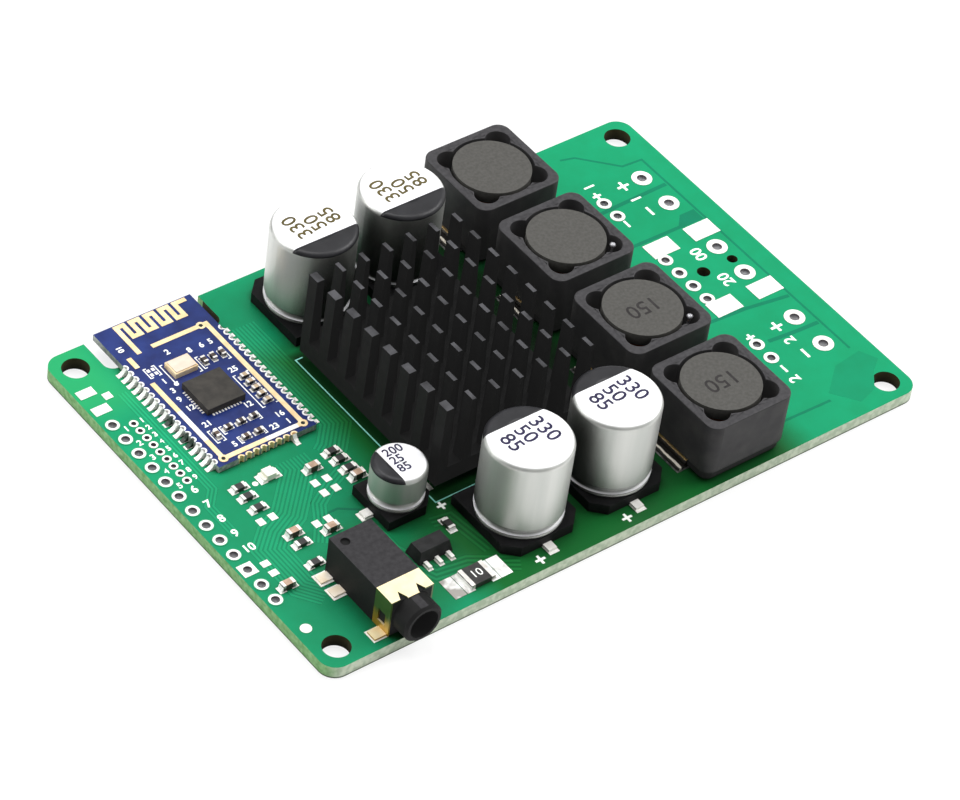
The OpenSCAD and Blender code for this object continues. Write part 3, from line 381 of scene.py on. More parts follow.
def sink_material():
    """Black anodised pins with a faint painted glow, tips that are greyer where they look up, partly as bare
    metal and partly as painted light from above, and a fine drawn grain.
    """
    s = Shader("black_anodised", rough=0.6, spec=0.06)
    # Painted glow: a faint even light.
    s.lift(0.008)
    body = s.two(900, lin(12, 12, 12), lin(17, 17, 17))
    # The greyer tips are partly bare metal and partly painted light from above.
    tips = s.two(420, lin(46, 46, 48), lin(74, 74, 77))
    looks_up = s.range(s.axis("Z", "Normal"), 0.8, 0.95)
    at_tip = s.math("MULTIPLY", looks_up, s.above(top_of("heatsink") - 0.2))
    s.color(s.mix(at_tip, body, tips), lin(20, 20, 20))
    s.bump(s.noise(2200, 2.0, (1, 0.1, 1)), 0.08)
    return s.mat


def can_material(name, near, clear):
    """Drawn aluminium with a white printed top; painted shade and painted reflection darken it where a black
    neighbour stands close.
    """
    s = Shader(name, rough=0.4, metal=1.0)
    metal = s.two(500, lin(176, 178, 174), lin(190, 191, 187), stretch=(1, 1, 0.05))
    # Painted shade and reflection: the walls darken within reach of a black neighbour.
    metal = s.mix(s.range(s.crevice(7.0), near, clear), lin(52, 56, 52), metal)
    flat = s.range(s.axis("Z", "Normal"), 0.75, 0.95)
    s.color(s.mix(flat, metal, lin(232, 232, 234)), lin(184, 185, 182))
    s.set("Metallic", s.range(flat, 0, 1, 0.7, 0.0))
    s.set("Roughness", s.range(flat, 0, 1, 0.42, 0.5))
    return s.mat


def shield_material():
    """Grey ferrite with a faint painted glow and painted shade: darker on the walls and black at the
    set-back foot.
    """
    s = Shader("ferrite_shield", rough=0.55, spec=0.16)
    # Painted glow: a faint even light.
    s.lift(0.006)
    face = s.two(2200, lin(48, 47, 49), lin(60, 59, 61))
    wall = s.two(420, lin(30, 29, 31), lin(44, 43, 43))
    # Painted shade: black at the set-back foot, darker on the walls than on top.
    side = s.mix(s.rise(3.1, 3.4), lin(12, 12, 12), wall)
    s.color(s.mix(s.upright(), face, side), lin(54, 53, 55))
    s.bump(s.noise(4200, 2.0), 0.2)
    return s.mat


def terminal_material():
    """Inductor clips and their lands: a gilt line at the shield, a bright streak, dull solder outside."""
    s = Shader("inductor_clip", rough=0.35, metal=0.3)
    lo, hi = span("inductor_shield_1")
    out = s.math("SUBTRACT", s.off("X", mid("inductor_drum_1")[0]), (hi[0] - lo[0]) / 2 * MM)
    sway = s.math("MULTIPLY", s.math("SUBTRACT", s.noise(900), 0.5), 0.4 * MM)
    streak = s.math("ADD", out, sway)
    rim = s.above(top_of("inductor_terminals_1") - 0.22)
    tone = s.mix(rim, lin(26, 23, 20), lin(196, 164, 108))
    tone = s.mix(s.range(streak, 0.3 * MM, 0.38 * MM), tone, lin(252, 246, 232))
    tone = s.mix(s.range(streak, 0.6 * MM, 0.68 * MM), tone, lin(58, 56, 54))
    s.color(tone, lin(120, 112, 100))
    return s.mat


def land_material():
    """Tinned lands: grey beside the inductors, streaked with solder at the wide resistor."""
    s = Shader("tinned_lands", rough=0.42, metal=0.1)
    bright, dull = BRIGHT_TIN
    tin = s.two(1100, dull, bright)
    grey = s.two(1500, lin(46, 46, 46), lin(120, 120, 118))
    wetted = s.two(420, lin(250, 250, 248), lin(150, 146, 140), 0.45, 0.6)
    tone = s.mix(s.zone(INDUCTOR_FIELD), tin, grey)
    s.color(s.mix(s.zone(WIDE_RESISTOR_FIELD), tone, wetted), lin(232, 230, 225))
    s.bump(s.noise(2500, 2.0), 0.08)
    return s.mat


def module_material():
    """Blue mask on the module's faces, laminate on its edges."""
    s = Shader("module_mask", rough=0.3, spec=0.3)
    face = s.two(420, lin(16, 32, 88), lin(26, 46, 109))
    edge = s.two(2600, lin(110, 118, 116), lin(160, 166, 158))
    s.color(s.mix(s.upright(), face, edge), lin(28, 40, 104))
    return s.mat


def castellation_material():
    """Half-round pads: gold along the front edge, wetted with solder along the two long sides."""
    s = Shader("castellations", rough=0.35, metal=0.3)
    half = (MODULE_HI[0] - MODULE_LO[0]) / 2
    wet = s.math("GREATER_THAN", s.off("X", mid("module_board")[0]), (half - 1.0) * MM)
    gold = s.two(800, *MODULE_GOLD)
    tin = s.two(1100, lin(226, 226, 224), lin(250, 250, 248))
    s.color(s.mix(wet, gold, tin), lin(252, 228, 184))
    return s.mat


def joint_material():
    """Solder joints of the module; the three pads that stay unsoldered in the left row are painted dark
    green, as the shadow under the module's edge.
    """
    mat = tin_material("module_joints", *WET_TIN)
    s = Shader.wrap(mat)
    wet = s.bsdf.inputs["Base Color"].links[0].from_socket
    # Painted shadow on the unsoldered pads.
    dry = s.math("MAXIMUM", *[s.zone(area) for area in DRY_JOINTS])
    s.color(s.mix(dry, wet, lin(10, 40, 26)), lin(250, 250, 247))
    return mat


def tiny_material():
    """Parts on the module: tan in the column beside the chip, dark brown elsewhere, with painted shade
    darkening their sides.
    """
    s = Shader("module_ceramic")
    tan = s.two(1200, lin(150, 128, 102), lin(184, 162, 132))
    dark = s.two(1200, lin(44, 34, 30), lin(86, 66, 54))
    side = s.two(1200, lin(20, 16, 14), lin(34, 28, 24))
    top = s.mix(s.zone(MODULE_COLUMN), dark, tan)
    # Painted shade: the sides are darker than the tops.
    s.color(s.mix(s.upright(), top, side), lin(96, 76, 62))
    return s.mat


def jack_material():
    """Black moulding with a faint painted glow: painted light makes its roof grey, and its walls and barrel
    are black.
    """
    s = Shader("jack_plastic", rough=0.6, spec=0.1)
    # Painted glow: a faint even light.
    s.lift(0.006)
    top = s.two(1800, lin(40, 39, 41), lin(50, 49, 51))
    wall = s.two(700, lin(13, 13, 13), lin(18, 18, 18))
    # Painted light on the roof.
    roof = s.above(top_of("jack_housing") - 0.1)
    s.color(s.mix(roof, wall, top), lin(36, 36, 38))
    s.bump(s.noise(4200, 2.0), 0.12)
    return s.mat


def shell_material():
    """Gilt sheet: cream where it looks up, as painted light; its side plates are gold at the foot and olive
    above, as a painted reflection of the green board.
    """
    s = Shader("gilt_shell", rough=0.32, metal=0.4)
    roof = s.two(800, lin(244, 224, 176), lin(250, 234, 192))
    # Painted reflection of the green board on the side plates.
    side = s.mix(s.rise(2.2, 4.2), lin(176, 138, 40), lin(60, 84, 34))
    s.color(s.mix(s.upright(), roof, side), lin(240, 224, 186))
    return s.mat


def ceramic_material():
    """Chip capacitor: lighter tan on top and dark brown on its sides; the difference is painted light and
    shade.
    """
    s = Shader("ceramic")
    top = s.two(1200, lin(150, 122, 100), lin(184, 156, 134))
    side = s.two(1200, lin(40, 32, 28), lin(58, 48, 42))
    s.color(s.mix(s.upright(), top, side), lin(150, 122, 100))
    return s.mat


def cap_material():
    """End caps of chip parts: bright on top, with walls that catch less light."""
    s = Shader("chip_end_tin", rough=0.4, metal=0.2)
    top = s.two(1100, lin(238, 236, 232), lin(206, 202, 196))
    wall = s.two(1500, lin(84, 80, 76), lin(196, 192, 186), 0.42, 0.58)
    s.color(s.mix(s.upright(), top, wall), lin(220, 218, 212))
    return s.mat


def gold_material():
    """Thin gold on the module's antenna, ground track and crystal rim."""
    s = Shader("gold_track", rough=0.3, metal=0.3)
    s.color(s.two(800, *MODULE_GOLD), MODULE_GOLD[1])
    return s.mat


MASK = mask_material()
RIDGE = ridge_material("mask_over_tracks", lin(20, 152, 104), lin(26, 160, 110), lin(26, 106, 50))
GAP = ridge_material("mask_over_laminate", lin(6, 112, 82), lin(8, 118, 86), lin(12, 78, 34))
THIN = ridge_material("mask_over_bare_corner", lin(10, 128, 88), lin(12, 132, 92), lin(16, 84, 38))
TIN = tin_material("tin", *BRIGHT_TIN)
HEADER = header_material()
SOLDER = tin_material("solder", *WET_TIN)
SINK = sink_material()
# The two can materials differ only in where their painted shade starts and ends.
CAN = can_material("can_aluminium", 0.45, 0.85)
SMALL_CAN = can_material("small_can_aluminium", 0.2, 0.62)
BLACK = plain("black_base", lin(14, 14, 15), lin(21, 21, 22), 700, 0.6, spec=0.12, grain=0.1)
MOULD = plain("moulding", lin(48, 46, 43), lin(60, 57, 53), 900, 0.6, spec=0.2, grain=0.15)
DARK_MOULD = plain("dark_moulding", lin(36, 36, 37), lin(46, 46, 47), 900, 0.6, spec=0.15, grain=0.15)
SHIELD = shield_material()
DRUM = plain("ferrite_drum", lin(66, 65, 62), lin(75, 74, 71), 2600, 0.6, spec=0.2, grain=0.2)
WIRE = plain("wire", lin(120, 60, 24), lin(150, 78, 34), 600, 0.35, metal=0.7)
CLIP = terminal_material()
MODULE = module_material()
GOLD = gold_material()
EDGE_PADS = castellation_material()
JOINTS = joint_material()
TINY = tiny_material()
GILT = shell_material()
FEET = plain("soldered_feet", lin(254, 252, 250), lin(240, 222, 192), 420, 0.35, metal=0.05)
LAND = land_material()
LID = plain("crystal_lid", lin(206, 190, 172), lin(224, 210, 194), 500, 0.35, metal=0.2)
TAN = ceramic_material()
CAPS = cap_material()
RESIST = plain("resistor_coat", lin(30, 28, 28), lin(44, 42, 42), 1200, 0.35)
JACK = jack_material()
LED = plain("led_resin", lin(232, 230, 214), lin(246, 244, 232), 900, 0.25)
PAD = plain("silicone", lin(120, 124, 128), lin(136, 140, 144), 700, 0.7)
SILK = plain("silk_ink", lin(236, 240, 234), lin(250, 252, 248), 900, 0.6, spec=0.2)
FADED = plain("silk_outline", lin(120, 200, 186), lin(140, 214, 200), 900, 0.6, spec=0.2)
INK = plain("print_ink", lin(30, 26, 54), lin(44, 38, 72), 1200, 0.5, spec=0.2)
OLIVE_INK = plain("print_ink_olive", lin(70, 62, 30), lin(88, 78, 42), 1200, 0.5, spec=0.2)
STAMP = plain("stamped_ink", lin(42, 40, 40), lin(50, 48, 48), 1200, 0.6, spec=0.1)
DROP = plain("tinned_wire", lin(120, 120, 124), lin(200, 200, 204), 2600, 0.3, metal=0.4)
BAND = plain("print_black", lin(23, 23, 26), lin(33, 33, 36), 500, 0.4, spec=0.3)

GROUPS = [
    (MASK, ["circuit_board"]),
    (HEADER, ["header_plating"]),
    (TIN, ["terminal_plating", "speaker_plating", "bare_lands", "amplifier_leads",
           "capacitor_leads", "module_chip_lands", "regulator_leads"]),
    (CAPS, ["module_part_ends", "chip_ends"]),
    (LAND, ["part_lands"]),
    (CLIP, numbered("inductor_terminals")),
    (SOLDER, ["chip_solder"]),
    (JOINTS, ["module_solder"]),
    (EDGE_PADS, ["module_castellations"]),
    (TINY, ["module_parts"]),
    (SINK, ["heatsink"]),
    (PAD, ["thermal_pad"]),
    (MOULD, ["module_chip"]),
    (DARK_MOULD, ["amplifier_chip", "regulator_body"]),
    (CAN, numbered("capacitor_can")),
    (SMALL_CAN, ["small_capacitor_can"]),
    (BLACK, numbered("capacitor_base") + ["small_capacitor_base"]),
    (SHIELD, numbered("inductor_shield")),
    (DRUM, numbered("inductor_drum")),
    (WIRE, numbered("inductor_winding")),
    (MODULE, ["module_board"]),
    (GOLD, ["module_antenna", "module_ground_track", "module_crystal"]),
    (GILT, ["jack_shell"]),
    (FEET, ["jack_contacts"]),
    (LID, ["module_crystal_lid"]),
    (TAN, ["chip_capacitors"]),
    (RESIST, ["wide_resistor", "chip_resistors"]),
    (JACK, ["jack_housing"]),
    (LED, ["indicator_led"]),
]
for mat, names in GROUPS:
    for name in names:
        NODES[name].data.materials.clear()
        NODES[name].data.materials.append(mat)


# Small edge radii on the pressed ferrite

SHIELD_EDGE = 0.14
DRUM_EDGE = 0.1
WELD_GAP = 0.002


def soften(name, width):
    """Round a node's sharp edges with modifiers; its mesh stays as it is."""
    weld = NODES[name].modifiers.new("weld", "WELD")
    weld.merge_threshold = WELD_GAP * MM
    bevel = NODES[name].modifiers.new("edge", "BEVEL")
    bevel.width = width * MM
    bevel.segments = 2
    bevel.limit_method = "ANGLE"
    bevel.angle_limit = math.radians(50)
    bevel.harden_normals = False


for shield, drum in zip(numbered("inductor_shield"), numbered("inductor_drum")):
    soften(shield, SHIELD_EDGE)
    soften(drum, DRUM_EDGE)


# Pieces that the scene adds

def add_piece(name, verts, faces, mat, smooth=False):
    """A mesh that rides on the board, in metres."""
    mesh = bpy.data.meshes.new(name)
    mesh.from_pydata(verts, [], faces)
    mesh.materials.append(mat)
    for face in mesh.polygons:
        face.use_smooth = smooth
    obj = bpy.data.objects.new(name, mesh)
    bpy.context.scene.collection.objects.link(obj)
    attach(obj, "root")
    return obj


def offset_path(pts, d):
    """The path moved sideways by d, with mitred turns."""
    out = []
    for i, p in enumerate(pts):
        a, b, c = Vector(pts[max(i - 1, 0)]), Vector(p), Vector(pts[min(i + 1, len(pts) - 1)])
        d1 = (b - a).normalized() if i else (c - b).normalized()
        d2 = (c - b).normalized() if i < len(pts) - 1 else d1
        t = (d1 + d2).normalized()
        n = Vector((-t.y, t.x))
        out.append(tuple(b + n * (d / max(0.4, n.dot(Vector((-d1.y, d1.x)))))))
    return out


class Sheet:
    """Collects thin closed prisms, in millimetres, into one mesh."""

    def __init__(self, z, thick=PRINT_T):
        self.z, self.thick = z, thick
        self.verts, self.faces = [], []

    def poly(self, pts):
        """One prism over an outline, which may run either way round."""
        turns = sum(x0 * y1 - x1 * y0 for (x0, y0), (x1, y1) in zip(pts, pts[1:] + pts[:1]))
        pts = pts if turns > 0 else pts[::-1]
        n = len(self.verts)
        k = len(pts)
        self.verts += [(x, y, self.z + self.thick) for x, y in pts]
        self.verts += [(x, y, self.z) for x, y in pts]
        self.faces += [list(range(n, n + k)), list(range(n + 2 * k - 1, n + k - 1, -1))]
        self.faces += [[n + k + i, n + k + (i + 1) % k, n + (i + 1) % k, n + i] for i in range(k)]

    def rect(self, x, y, w, h):
        """A rectangle, centred on a point."""
        a, b = w / 2, h / 2
        self.poly([(x - a, y - b), (x + a, y - b), (x + a, y + b), (x - a, y + b)])

    def disc(self, x, y, r, n=20):
        """A round dot."""
        turns = [2 * math.pi * i / n for i in range(n)]
        self.poly([(x + r * math.cos(t), y + r * math.sin(t)) for t in turns])

    def ribbon(self, pts, w):
        """A line of even width through the points."""
        self.poly(offset_path(pts, -w / 2) + offset_path(pts, w / 2)[::-1])

    def bundle(self, pts, count, pitch, w):
        """Lines side by side, centred on a path."""
        for i in range(count):
            self.ribbon(offset_path(pts, (i - (count - 1) / 2) * pitch), w)

    def plus(self, x, y, size, w):
        """A plus sign with strokes of one width."""
        a, b = size / 2, w / 2
        outline = [(-a, -b), (-b, -b), (-b, -a), (b, -a), (b, -b), (a, -b),
                   (a, b), (b, b), (b, a), (-b, a), (-b, b), (-a, b)]
        self.poly([(x + u, y + v) for u, v in outline])

    def bracket(self, x, y, w, h, stroke=0.13, arm=0.35):
        """Two square brackets round a part."""
        back, front = y + h / 2, y - h / 2
        for side in (-1, 1):
            edge = x + side * w / 2
            tip = edge - side * arm
            self.ribbon([(tip, back), (edge, back), (edge, front), (tip, front)], stroke)

    def text(self, body, x, y, size, turn, bold=0.0, align="CENTER"):
        """Plain numbers at a point, turned about Z by degrees; a 4 is too narrow for bold."""
        curve = bpy.data.curves.new("mark", "FONT")
        curve.body = body
        curve.size = size
        curve.offset = 0.0 if "4" in body else bold
        curve.extrude = self.thick / 2
        curve.align_x = align
        curve.align_y = "CENTER"
        curve.resolution_u = 3
        obj = bpy.data.objects.new("mark", curve)
        bpy.context.scene.collection.objects.link(obj)
        shape = obj.evaluated_get(bpy.context.evaluated_depsgraph_get()).to_mesh()
        place = Matrix.Translation((x, y, 0)) @ Matrix.Rotation(math.radians(turn), 4, "Z")
        lift = Vector((0, 0, self.z + self.thick / 2))
        n = len(self.verts)
        self.verts += [tuple(place @ v.co + lift) for v in shape.vertices]
        self.faces += [[n + i for i in p.vertices] for p in shape.polygons]
        bpy.data.objects.remove(obj)

    def make(self, name, mat, slot=None):
        """One piece of all the prisms."""
        add_piece(name, [(x * MM, y * MM, z * MM) for x, y, z in self.verts], self.faces, mat)


# Copper under the mask: paths of track bundles, with the number of tracks, their pitch and width

TRACK_RUNS = [
    ([(-26.6, 0.6), (-26.6, -1.2), (-31.6, -6.2), (-34.4, -7.6), (-36.4, -9.4), (-36.4, -15.4),
      (-34.8, -17.6)], 9, 0.46, 0.26),
    ([(-19.0, 20.5), (-19.0, 2.5), (-21.5, -0.2), (-22.6, -0.9)], 8, 0.46, 0.26),
    ([(-36.4, 18.5), (-36.4, 1.2), (-38.2, -0.8), (-38.2, -5.8)], 3, 0.42, 0.22),
    ([(-22.4, -3.6), (-25.0, -4.8), (-27.9, -6.6), (-29.6, -9.4), (-31.2, -11.4)], 4, 0.45, 0.25),
    ([(-25.3, -12.4), (-25.3, -16.4), (-23.2, -21.4), (-19.4, -22.0), (-14.6, -25.0)], 4, 0.6, 0.3),
    ([(-19.2, -15.2), (-17.0, -15.6), (-16.2, -21.6)], 3, 0.6, 0.3),
]

# Gaps between pours: paths with their widths, one wide step, and the corner without copper

GAP_LINES = [
    ([(27.4, 14.6), (31.0, 14.75), (38.3, 14.9)], 0.55),
    ([(24.6, 8.3), (34.9, 8.1)], 0.5),
    ([(24.6, -6.2), (32.4, -6.7), (38.3, -7.6)], 0.5),
    ([(31.2, -12.3), (35.6, -12.7), (38.3, -12.8)], 0.55),
    ([(30.0, 24.6), (31.8, 24.1), (35.8, 20.0), (38.6, 19.8), (38.6, -18.0)], 0.3),
    ([(24.0, -23.2), (31.0, -23.4)], 0.35),
    ([(-24.6, -9.6), (-26.6, -8.2), (-29.0, -8.2)], 0.3),
]
GAP_STEP = [(34.9, 7.85), (38.3, 7.85), (38.3, 9.75), (36.2, 9.75), (34.9, 8.35)]
BARE_CORNER = [(31.6, -22.4), (35.2, -19.4), (39.2, -18.9), (40.3, -21.0), (38.4, -22.4), (36.6, -24.6),
               (33.9, -25.4)]


def board_tracks():
    """Copper under the mask: bundles of tracks on the left, gaps between pours on the right."""
    tracks, ground = Sheet(BOARD_TOP, TRACK_T), Sheet(BOARD_TOP, GROUND_T)
    for path, count, pitch, width in TRACK_RUNS:
        tracks.bundle(path, count, pitch, width)
        ground.ribbon(path, count * pitch)
    tracks.make("mask_tracks", RIDGE, "board")
    ground.make("mask_ground", THIN, "board")

    gaps = Sheet(BOARD_TOP, GAP_T)
    for path, width in GAP_LINES:
        gaps.ribbon(path, width)
    gaps.poly(GAP_STEP)
    gaps.make("mask_gaps", GAP, "board")

    corner = Sheet(BOARD_TOP, GAP_T)
    corner.poly(BARE_CORNER)
    corner.make("mask_corner", THIN, "board")


# Way of a wire end from the winding up into a pocket: distance from the drum's axis, depth, wire radius

WIRE_WAY = [
    (4.3, 2.3, 0.15), (4.85, 2.2, 0.15), (5.2, 1.85, 0.15), (5.32, 1.3, 0.15), (5.34, 0.92, 0.17),
    (5.34, 0.74, 0.3), (5.34, 0.56, 0.38), (5.34, 0.42, 0.33), (5.34, 0.32, 0.2), (5.34, 0.28, 0.06),
]
WIRE_TURN = math.radians(-40)
WIRE_SIDES = 14


def wire_end(i):
    """Wire that leaves one inductor's winding and ends in a drop of solder in a corner pocket."""
    cx, cy, _ = mid("inductor_drum_%d" % i)
    axis_top = Vector((cx, cy, top_of("inductor_shield_%d" % i)))
    outward = Vector((math.cos(WIRE_TURN), math.sin(WIRE_TURN), 0))
    side = Vector((-math.sin(WIRE_TURN), math.cos(WIRE_TURN), 0))
    line = [axis_top + outward * away - Vector((0, 0, depth)) for away, depth, _ in WIRE_WAY]
    last = len(line) - 1
    verts = []
    for k, point in enumerate(line):
        ahead = (line[min(k + 1, last)] - line[max(k - 1, 0)]).normalized()
        across = side.cross(ahead)
        for j in range(WIRE_SIDES):
            t = 2 * math.pi * j / WIRE_SIDES
            verts.append((point + (across * math.cos(t) + side * math.sin(t)) * WIRE_WAY[k][2]) * MM)
    ring = list(range(WIRE_SIDES))
    faces = [ring[::-1], [last * WIRE_SIDES + j for j in ring]]
    for k in range(last):
        low, high = k * WIRE_SIDES, (k + 1) * WIRE_SIDES
        for j in ring:
            after = (j + 1) % WIRE_SIDES
            faces.append([low + j, low + after, high + after, high + j])
    add_piece("inductor_%d_wire_end" % i, verts, faces, DROP, smooth=True)


# Board print: x, y, size and stroke of each plus sign

TERMINAL_SIGN_X = 33.6
SPEAKER_SIGN_X = mid("speaker_plating")[0] + 0.1
PLUS_SIGNS = [
    (TERMINAL_SIGN_X, 17.15, 1.6, 0.34), (TERMINAL_SIGN_X, -10.9, 1.6, 0.34),
    (SPEAKER_SIGN_X, 17.35, 1.15, 0.32), (SPEAKER_SIGN_X, -10.75, 1.15, 0.32),
    (-12.5, -25.75, 1.3, 0.32), (-0.5, -25.75, 1.3, 0.32), (-16.7, -13.7, 1.15, 0.3),
]

# Minus signs: x, y, stroke and length

MINUS_SIGNS = [
    (TERMINAL_SIGN_X, 12.1, 0.34, 1.5), (TERMINAL_SIGN_X, -16.0, 0.34, 1.5),
    (SPEAKER_SIGN_X, 11.7, 0.3, 1.2), (SPEAKER_SIGN_X, -16.7, 0.3, 1.2),
]

# Numbers at the speaker pairs and the supply pair: text, x, y and size

PAIR_NUMBERS = [
    ("1", 33.6, 14.6, 2.0), ("2", 33.5, -13.4, 2.0), ("1", 30.1, 19.1, 2.0), ("2", 29.8, -18.6, 2.0),
    ("00", 33.8, 3.3, 2.1), ("20", 33.8, -1.7, 2.1),
]
DOT_AT = (-32.0, -0.55)
DOT_R = 0.34
BOLD = 0.04
SEMIBOLD = 0.03
LIGHT = 0.02
OUTLINE_PATH = [(-16.0, 12.9), (-16.95, 12.9), (-16.95, -13.0), (-10.1, -13.0)]
OUTLINE_STROKE = 0.15

# Numbers beside the rows: distance from the left edge of the header's rings, and size

BETWEEN_RINGS = (1.9, 1.15)
BESIDE_RINGS = (2.9, 1.5)
BESIDE_CONSOLE = (4.1, 1.0)


def row_numbers(silk):
    """Numbers beside both rows of holes; the first five of the header stand between its rings."""
    out, size = BETWEEN_RINGS
    for i in range(5):
        y = HEADER_FIRST_Y - i * HEADER_PITCH - HEADER_PITCH / 2
        silk.text(str(i + 1), HEADER_LO[0] + out, y, size, 0, SEMIBOLD)
    out, size = BESIDE_RINGS
    for i in range(5, 10):
        silk.text(str(i + 1), HEADER_LO[0] + out, HEADER_FIRST_Y - i * HEADER_PITCH, size, 0, BOLD)
    out, size = BESIDE_CONSOLE
    for i in range(9):
        silk.text(str(i + 1), HEADER_LO[0] + out, CONSOLE_FIRST_Y - i * CONSOLE_PITCH, size, 0, SEMIBOLD)


def silk_marks():
    """White board print: plus and minus signs, plain numbers, a dot, and the heatsink's thin outline."""
    silk = Sheet(BOARD_TOP)
    for x, y, size, stroke in PLUS_SIGNS:
        silk.plus(x, y, size, stroke)
    for x, y, stroke, length in MINUS_SIGNS:
        silk.rect(x, y, stroke, length)
    for body, x, y, size in PAIR_NUMBERS:
        silk.text(body, x, y, size, 90, BOLD)
    silk.disc(*DOT_AT, DOT_R)
    row_numbers(silk)
    silk.make("silk_print", SILK)

    outline = Sheet(BOARD_TOP)
    outline.ribbon(OUTLINE_PATH, OUTLINE_STROKE)
    outline.make("silk_outline", FADED)


def islands(name):
    """Boxes of a node's separate solids, in millimetres."""
    obj = NODES[name]
    keys, parent = {}, {}

    def find(k):
        """The point that stands for all those joined to this one."""
        while parent[k] != k:
            k = parent[k]
        return k

    for v in obj.data.vertices:
        p = obj.matrix_world @ v.co
        keys[v.index] = tuple(round(c / MM, 3) for c in p)
        parent.setdefault(keys[v.index], keys[v.index])
    for poly in obj.data.polygons:
        ids = [find(keys[i]) for i in poly.vertices]
        for k in ids[1:]:
            parent[find(k)] = find(ids[0])
    groups = {}
    for k in parent:
        groups.setdefault(find(k), []).append(k)
    return [([min(c) for c in zip(*g)], [max(c) for c in zip(*g)]) for g in groups.values()]


# Module print: x, y, width and height of the brackets, and text, x and y of the numbers

CRYSTAL_BRACKET = (3.7, 3.0)
MODULE_BRACKETS = [
    (-25.15, 17.27, 3.5, 2.0), (-23.95, 10.8, 2.1, 5.7), (-28.45, 7.28, 5.0, 1.2),
    (-28.45, 5.08, 3.4, 1.0), (-31.85, 6.97, 1.1, 2.0), (-32.2, 18.8, 1.4, 1.6),
]
MODULE_NUMBERS = [
    ("2", -29.0, 20.6), ("8", -26.7, 19.6), ("6", -25.1, 19.6), ("5", -23.9, 19.6), ("1", -31.9, 16.9),
    ("3", -31.9, 15.2), ("9", -32.1, 13.7), ("12", -31.8, 12.0), ("12", -26.1, 9.2), ("25", -24.3, 14.6),
    ("16", -24.0, 6.2), ("1", -23.8, 4.8), ("23", -25.6, 4.9), ("5", -30.9, 4.9), ("21", -31.7, 9.0),
]
MODULE_NUMBER_SIZE = 1.1
ANTENNA_NUMBER = ("10", -33.3, 23.6)
ANTENNA_NUMBER_SIZE = 1.0
MODULE_DOT_AT = (-31.0, 15.9)
MODULE_DOT_R = 0.28
BARE_LAND_X = (-32.5, -31.9)
BARE_LAND_Y = (18.45, 19.15)
BARE_LAND = (0.38, 0.46)
LAND_REACH = 0.4
LAND_MARGIN = 0.1
BAR_W = 0.6
BAR_RISE = 0.05
SIDE_BAR_AT = (MODULE_LO[0] + 1.2, MODULE_HI[1] - 17.6)
SIDE_BAR_LENGTH = 5.2
FRONT_BAR_AT = (MODULE_LO[0] + 9.0, MODULE_LO[1] + 0.9)
FRONT_BAR_LENGTH = 4.2


def module_marks():
    """White print on the module: brackets round its parts and plain numbers; then its lands and bars."""
    silk = Sheet(MODULE_TOP)
    cx, cy, _ = mid("module_crystal")
    silk.bracket(cx, cy, *CRYSTAL_BRACKET)
    for x, y, w, h in MODULE_BRACKETS:
        silk.bracket(x, y, w, h)
    for body, x, y in MODULE_NUMBERS:
        silk.text(body, x, y, MODULE_NUMBER_SIZE, 0, SEMIBOLD)
    silk.text(*ANTENNA_NUMBER, ANTENNA_NUMBER_SIZE, -90, SEMIBOLD)
    silk.disc(*MODULE_DOT_AT, MODULE_DOT_R)
    silk.make("module_print", SILK)

    # Lands reach further out along a part than across it
    lands = Sheet(MODULE_TOP)
    for lo, hi in islands("module_part_ends"):
        w, h = hi[0] - lo[0], hi[1] - lo[1]
        more_x, more_y = (LAND_REACH, LAND_MARGIN) if w < h else (LAND_MARGIN, LAND_REACH)
        lands.rect((lo[0] + hi[0]) / 2, (lo[1] + hi[1]) / 2, w + more_x, h + more_y)
    for x in BARE_LAND_X:
        for y in BARE_LAND_Y:
            lands.rect(x, y, *BARE_LAND)
    lands.make("module_part_lands", TIN, "tinned")

    bars = Sheet(MODULE_TOP + BAR_RISE)
    bars.rect(*SIDE_BAR_AT, BAR_W, SIDE_BAR_LENGTH)
    bars.rect(*FRONT_BAR_AT, FRONT_BAR_LENGTH, BAR_W)
    bars.make("module_tinned_bars", TIN, "tinned")


# Print on the cans, inductors and wide resistor

CAN_SHOULDER = 0.6
BAND_STEPS = 28
LARGE_RATING = ["330", "50", "85"]
SMALL_RATING = ["200", "25", "85"]
LARGE_SIZE = 2.6
SMALL_SIZE = 1.6
LINE_PITCH = 0.83


def can_band(node, turn, chord):
    """Dark band on one side of a can's top and rounded shoulder.

    Its straight edge lies at the chord's distance from the can's axis.
    """
    cx, cy, _ = mid(node)
    lo, hi = span(node)
    z = hi[2]
    flat = (hi[0] - lo[0]) / 2 - CAN_SHOULDER
    bend = CAN_SHOULDER + PRINT_T
    rings = [(chord + (flat - chord) * k / 4 + 0.0005, z + PRINT_T) for k in range(5)]
    for k in range(1, 8):
        a = math.radians(11 * k)
        rings.append((flat + bend * math.sin(a), z - CAN_SHOULDER + bend * math.cos(a)))
    verts, faces = [], []
    for radius, height in rings:
        half = math.acos(min(1.0, chord / radius))
        for i in range(BAND_STEPS + 1):
            a = math.radians(turn) - half + 2 * half * i / BAND_STEPS
            verts.append(((cx + radius * math.cos(a)) * MM, (cy + radius * math.sin(a)) * MM, height * MM))
    for k in range(len(rings) - 1):
        for i in range(BAND_STEPS):
            p = k * (BAND_STEPS + 1) + i
            faces.append((p, p + BAND_STEPS + 1, p + BAND_STEPS + 2, p + 1))
    band = add_piece(node + "_band", verts, faces, BAND, smooth=True)
    film = band.modifiers.new("film", "SOLIDIFY")
    film.thickness = PRINT_T * MM / 2
    film.offset = -1


